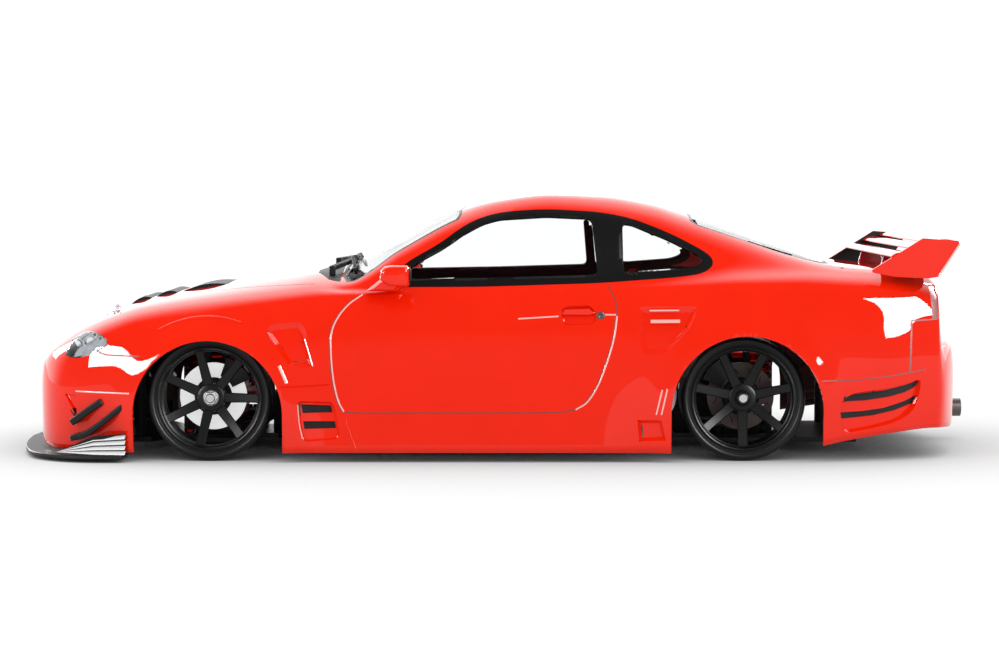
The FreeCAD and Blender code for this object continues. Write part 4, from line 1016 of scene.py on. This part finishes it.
def roof_height(x, y):
    """Height of the shell's surface at a place seen from above."""
    points = section_points(x)
    for (y0, z0), (y1, z1) in zip(points, points[1:]):
        if y0 <= y <= y1 and y1 > y0:
            return lerp(z0, z1, (y - y0) / (y1 - y0))
    return points[-1][1]


def bar(bm, start, end, half_w, half_h, slot=0):
    """A straight bar of rectangular section between two points in millimetres."""
    a, b = Vector(start), Vector(end)
    run = (b - a).normalized()
    side = run.cross(Vector((0, 0, 1))).normalized() * half_w
    up = side.cross(run).normalized() * half_h
    loft(bm, [[(p + side * i + up * j) * MM for i, j in ((-1, -1), (1, -1), (1, 1), (-1, 1))] for p in (a, b)], slot)


def build_bonnet_fittings():
    """Louvre lips, dress-up pins and wipers."""
    bm = bmesh.new()
    for x0, x1 in BONNET_SLOTS:
        rows = []
        for y in (-SLOT_HALF + 1.5, SLOT_HALF - 1.5):
            top = []
            for k in range(9):
                x = lerp(x0 + 0.5, x1 - 0.5, k / 8)
                top.append(mm(x, y, roof_height(x, abs(y)) + LOUVRE_RISE * math.sin(math.pi * k / 8)))
            rows.append([top[0] - mm(0, 0, 1), *top, top[-1] - mm(0, 0, 1)])
        loft(bm, rows)
    for y in (-PIN_AT[1], PIN_AT[1]):
        z = roof_height(PIN_AT[0], abs(y))
        for radius, low, high in ((3.2, -0.6, 0.5), (1.1, 0.2, 3.4), (1.7, 2.2, 3.0)):
            rows = [[mm(PIN_AT[0] + radius * math.cos(t * math.pi / 12), y + radius * math.sin(t * math.pi / 12), z + h)
                     for t in range(24)] for h in (low, high)]
            loft(bm, rows, 1)
    for y in WIPER_PIVOTS:
        foot = (-83.0, y, roof_height(-83.0, abs(y)) + 0.4)
        head = (-73.5, y + 20.0, roof_height(-73.5, abs(y + 20.0)) + 2.6)
        bar(bm, (foot[0], foot[1], foot[2] - 1), (foot[0], foot[1] + 0.1, foot[2] + 3.4), 1.5, 1.5)
        bar(bm, (foot[0], foot[1], foot[2] + 2.4), head, 1.5, 1.1)
        for reach in (-22.0, -8.0, 8.0, 22.0):
            y_at = head[1] + reach
            z_at = roof_height(-72.0, abs(y_at))
            bar(bm, (-73.5, head[1] + reach * 0.45, head[2] + 1.2), (-71.5, y_at, z_at + 1.4), 0.7, 0.7)
        ends = [(-71.5, head[1] + e, roof_height(-71.5, abs(head[1] + e)) + 0.9) for e in (-27.0, 27.0)]
        bar(bm, ends[0], ends[1], 0.6, 1.0)
    close_up(bm)
    fittings = new_piece("bonnet_details", "shell", bm, [BLACK_AND_SHADE, STEEL], 30.0)
    soften(fittings, 0.2, 1)
    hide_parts("bonnet_fittings")


def build_lamp_details():
    """Round reflectors inside the headlamp pockets."""
    bm = bmesh.new()
    for x, y, z, radius in LAMP_PODS:
        rows = []
        for depth, share in ((0.0, 1.0), (0.4, 1.05), (1.2, 1.0), (1.0, 0.85), (-1.2, 0.35), (-1.4, 0.05)):
            rows.append([mm(x + radius * share * math.cos(math.pi * k / 16), -(y + depth), z + radius * share * math.sin(math.pi * k / 16))
                         for k in range(32)])
        loft(bm, rows)
    close_up(bm)
    pods = new_piece("lamp_reflectors", "shell", bm, [CHROME], 40.0)
    mirror_y(pods)


def surface_strip(bm, line, width, lift, slot):
    """A thin bead that follows the flank along a side view line."""
    rows = []
    outline = ribbon(line, width)
    half = len(line)
    for (x, z), (xl, zl), (xr, zr) in zip(line, outline[:half], outline[:half - 1:-1]):
        left, middle, right = flank_side(xl, zl), flank_side(x, z), flank_side(xr, zr)
        rows.append([mm(xl, 0.6 - left, zl), mm(xl, -left - 0.05, zl), mm(x, -middle - 0.05 - lift, z),
                     mm(xr, -right - 0.05, zr), mm(xr, 0.6 - right, zr)])
    loft(bm, rows, slot)


def build_panel_lines():
    """Door gap, seams and creases of the flanks: dark strips of painted shade, raised beads of paint, and lighter beads
    of painted highlight.
    """
    bm = bmesh.new()
    dark, painted, bright = range(3)
    # gaps and seams as flat dark strips of painted shade
    for line, width in ((DOOR_SILL, 0.7), (DOOR_TOP, 0.6), (BUMPER_SEAM, 0.9), (LAMP_SEAM, 0.6), (BUMPER_TOP, 0.6),
                        (FENDER_SEAM, 0.6)):
        surface_strip(bm, smooth_line(line, 5), width, 0.0, dark)
    for line, width in ((SKIRT_LINE, 0.8), (SKIRT_BLADE, 1.2)):
        surface_strip(bm, smooth_line(line, 5), width, 0.5, painted)
    for cx, cz, radius in ARCHES[:1]:
        angles = [math.radians(70 + 5 * k) for k in range(11)]
        crown = [(cx + (radius + 11) * math.cos(a), cz + (radius + 11) * math.sin(a)) for a in angles]
        surface_strip(bm, crown, 1.6, 0.4, painted)
    # painted highlights of reflections on the flank
    for line, width in ((QUARTER_PAINTED_HIGHLIGHT, 1.6), (ARCH_PAINTED_HIGHLIGHT, 1.4), (FENDER_PAINTED_HIGHLIGHT, 0.6), (SKIRT_PAINTED_HIGHLIGHT, 0.5)):
        surface_strip(bm, smooth_line(line, 5), width, 0.15, bright)
    # door edges: a dark strip of painted shade beside a bead of painted highlight
    for line in (DOOR, DOOR_REAR):
        shifted = [(x - 0.7, z) for x, z in smooth_line(line, 6)]
        surface_strip(bm, shifted, 0.5, 0.0, dark)
        surface_strip(bm, smooth_line(line, 6), 0.7, 0.15, bright)
    # creases and fin edges drawn as beads of painted highlight
    for line in DOOR_LINES + REAR_FINS + [NOSE_CREASE, QUARTER_CREASE]:
        surface_strip(bm, smooth_line(line, 5), 0.7, 0.15, bright)
    close_up(bm)
    lines = new_piece("panel_lines", "shell", bm, [GROOVE_SHADE, PAINT, PAINTED_HIGHLIGHT], 50.0)
    mirror_y(lines)


def build_lip():
    """The flat rounded lip under the front bumper."""
    bm = bmesh.new()
    front = smooth_line(LIP_EDGE, 8)
    half = front + LIP_INNER
    rows = []
    for z in LIP_Z:
        rows.append([bm.verts.new(mm(x, -y, z)) for x, y in half])
    count = len(half)
    for row in rows:
        bm.faces.new(row)
    for j in range(count):
        if j != len(front) - 1:
            n = (j + 1) % count
            bm.faces.new((rows[0][j], rows[0][n], rows[1][n], rows[1][j]))
    bmesh.ops.recalc_face_normals(bm, faces=bm.faces[:])
    lip = new_piece("front_lip", "shell", bm, [SPLITTER], 40.0)
    mirror_y(lip)
    soften(lip, 0.5)
    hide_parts("front_splitter")


def build_door_trim():
    """Pull handle and lock of each door."""
    bm = bmesh.new()
    skin = flank_side(38.0, 72.0)
    prism(bm, HANDLE_BAR, skin - 1.0, skin + 0.9)
    rows = []
    for depth, radius in ((-1.0, 2.1), (0.3, 2.1), (0.6, 1.7), (0.6, 0.9), (0.2, 0.7)):
        rows.append([mm(LOCK_AT[0] + radius * math.cos(math.pi * k / 16), -(flank_side(*LOCK_AT) + depth),
                        LOCK_AT[1] + radius * math.sin(math.pi * k / 16)) for k in range(32)])
    loft(bm, rows, 1)
    close_up(bm)
    trim = new_piece("door_handles", "shell", bm, [PAINT, DARK_DISC], 40.0)
    mirror_y(trim)
    soften(trim, 0.3)


def flank_side(x, z):
    """Distance of the flank from the middle at a place seen from the side."""
    points = section_points(x)
    for (y0, z0), (y1, z1) in zip(points, points[1:]):
        if z1 <= z <= z0 and y0 > 60.0:
            y = lerp(y0, y1, (z0 - z) / max(z0 - z1, 1e-6))
            return y + flare_out(x, y, z)
    return points[-1][0]


# ---- scene ----
def make_camera():
    """A long lens at the car's left side, slightly above it."""
    data = bpy.data.cameras.new("camera")
    data.lens = CAMERA_LENS
    data.sensor_width = 36.0
    camera = bpy.data.objects.new("camera", data)
    camera.location = mm(*CAMERA_AT)
    camera.rotation_euler = (math.radians(90.0 - CAMERA_TILT), 0, 0)
    bpy.context.scene.collection.objects.link(camera)
    bpy.context.scene.camera = camera


def area_light(name, at, towards, size, size_y, power, gloss_only=False):
    """A soft rectangular light, or a softbox that shows only in reflections."""
    data = bpy.data.lights.new(name, "AREA")
    data.shape = "RECTANGLE"
    data.size = size
    data.size_y = size_y
    data.energy = power
    light = bpy.data.objects.new(name, data)
    light.location = at
    light.visible_camera = False
    light.visible_diffuse = not gloss_only
    light.visible_glossy = gloss_only
    light.visible_transmission = not gloss_only
    light.rotation_euler = (Vector(towards) - Vector(at)).to_track_quat("-Z", "Y").to_euler()
    bpy.context.scene.collection.objects.link(light)


def make_world():
    """A white surround as light and background; gloss mirrors a white backdrop and a dim room before it."""
    world = bpy.data.worlds.new("world")
    world.use_nodes = True
    nodes, links = world.node_tree.nodes, world.node_tree.links
    background = nodes["Background"]
    background.inputs["Color"].default_value = (1, 1, 1, 1)
    path = nodes.new("ShaderNodeLightPath")
    seen = nodes.new("ShaderNodeMath")
    seen.operation = "MAXIMUM"
    links.new(path.outputs["Is Camera Ray"], seen.inputs[0])
    links.new(path.outputs["Is Transmission Ray"], seen.inputs[1])
    coords = nodes.new("ShaderNodeTexCoord")
    axes = nodes.new("ShaderNodeSeparateXYZ")
    links.new(coords.outputs["Generated"], axes.inputs["Vector"])
    backdrop = nodes.new("ShaderNodeMapRange")
    backdrop.inputs["From Min"].default_value = 0.0
    backdrop.inputs["From Max"].default_value = 0.5
    backdrop.inputs["To Min"].default_value = MIRRORED
    backdrop.inputs["To Max"].default_value = BACKDROP
    links.new(axes.outputs["Y"], backdrop.inputs["Value"])
    horizon = nodes.new("ShaderNodeMapRange")
    horizon.inputs["From Min"].default_value = 0.0
    horizon.inputs["From Max"].default_value = 0.4
    horizon.inputs["To Min"].default_value = HORIZON
    horizon.inputs["To Max"].default_value = MIRRORED
    links.new(axes.outputs["Z"], horizon.inputs["Value"])
    mirrored = nodes.new("ShaderNodeMath")
    mirrored.operation = "MAXIMUM"
    links.new(backdrop.outputs["Result"], mirrored.inputs[0])
    links.new(horizon.outputs["Result"], mirrored.inputs[1])
    base = nodes.new("ShaderNodeMapRange")
    base.inputs["To Min"].default_value = AMBIENT
    links.new(mirrored.outputs["Value"], base.inputs["To Max"])
    links.new(path.outputs["Is Glossy Ray"], base.inputs["Value"])
    strength = nodes.new("ShaderNodeMapRange")
    strength.inputs["To Max"].default_value = SEEN
    links.new(seen.outputs["Value"], strength.inputs["Value"])
    links.new(base.outputs["Result"], strength.inputs["To Min"])
    links.new(strength.outputs["Result"], background.inputs["Strength"])
    bpy.context.scene.world = world


def make_stage():
    """A floor without a horizon that glows, dimmed near things by ambient occlusion as a painted shadow, a bright
    surround and soft lights.
    """
    bm = bmesh.new()
    bmesh.ops.create_grid(bm, x_segments=2, y_segments=2, size=40.0)
    mesh = bpy.data.meshes.new("floor")
    bm.to_mesh(mesh)
    bm.free()
    floor = bpy.data.objects.new("floor", mesh)
    floor.location = (0, 0, -0.0002)
    floor_with_painted_shadow = material("floor_glow_with_painted_shadow", (0.1, 0.1, 0.1), 0.8, grain=20, bump=0.0, vary=0.01, Emission_Strength=FLOOR_GLOW,
                    Specular_IOR_Level=0.0)
    nodes, links = floor_with_painted_shadow.node_tree.nodes, floor_with_painted_shadow.node_tree.links
    # the floor's glow is dimmed by ambient occlusion near the car: a painted shadow
    shade = nodes.new("ShaderNodeAmbientOcclusion")
    shade.inputs["Distance"].default_value = SHADE_REACH
    links.new(shade.outputs["AO"], nodes["Principled BSDF"].inputs["Emission Color"])
    mesh.materials.append(floor_with_painted_shadow)
    bpy.context.scene.collection.objects.link(floor)
    make_world()
    area_light("overhead", (0.0, 0.0, 1.5), (0, 0, 0), 2.0, 1.4, 1.2)
    for side, name in ((-1, "left"), (1, "right")):
        area_light("key_" + name, (0.0, 1.5 * side, 1.15), (0, 0, 0.06), 2.2, 0.4, 1.2)
        for place, ((x, y, z), size, power) in SOFTBOXES.items():
            towards = (math.copysign(0.19, x), side * 0.09, 0.07)
            area_light("softbox_%s_%s" % (place, name), (x, side * y, z), towards, *size, power, True)
    bpy.context.scene.view_settings.view_transform = "Standard"


NODE_MATERIALS = {
    "chassis_plate": CARBON, "upper_deck": CARBON, "shock_towers": CARBON, "front_bulkhead": RED_ALLOY,
    "rear_gearbox": NYLON, "body_posts": NYLON, "battery_pack": SLEEVE, "electronics": NYLON,
    "steering_servo": NYLON, "bumper_foam": FOAM, "motor_can": ALLOY, "shock_absorbers": RED_ALLOY,
    "steering_rack": RED_ALLOY, "servo_horn": RED_ALLOY, "diff_spool": STEEL, "layshaft": STEEL,
    "motor_pinion": STEEL, "front_splitter": SPLITTER, "bumper_canards": BLACK_AND_SHADE, "splitter_fins": CHROME,
    "side_mirrors": PAINT, "wing_slats": PAINT, "wing_end_plates": PAINT, "exhaust_tip": PIPE,
    "bonnet_fittings": BLACK_AND_SHADE, "tail_lights": LENS_RED, "window_frames": TRIM, "window_panes": GLASS,
    "headlights": LENS_CLEAR, "body_shell": PAINT,
}
CORNER_MATERIALS = {"arm": NYLON, "link": RED_ALLOY, "shock_shaft": STEEL, "tyre": TYRE, "rim": RIM, "axle": STEEL,
                    "hub": NYLON, "knuckle": NYLON}


def dress_nodes():
    """Give every carried-over node its material."""
    for name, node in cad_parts.items():
        mat = NODE_MATERIALS.get(name)
        if mat is None:
            mat = next(m for key, m in CORNER_MATERIALS.items() if name.startswith(key + "_"))
        node.data.materials.clear()
        node.data.materials.append(mat)


make_camera()
make_stage()
dress_nodes()
build_shell()
build_wheels()
build_mirrors()
build_wing()
build_canards()
build_fins()
build_bonnet_fittings()
build_lamp_details()
build_door_trim()
build_panel_lines()
build_lip()
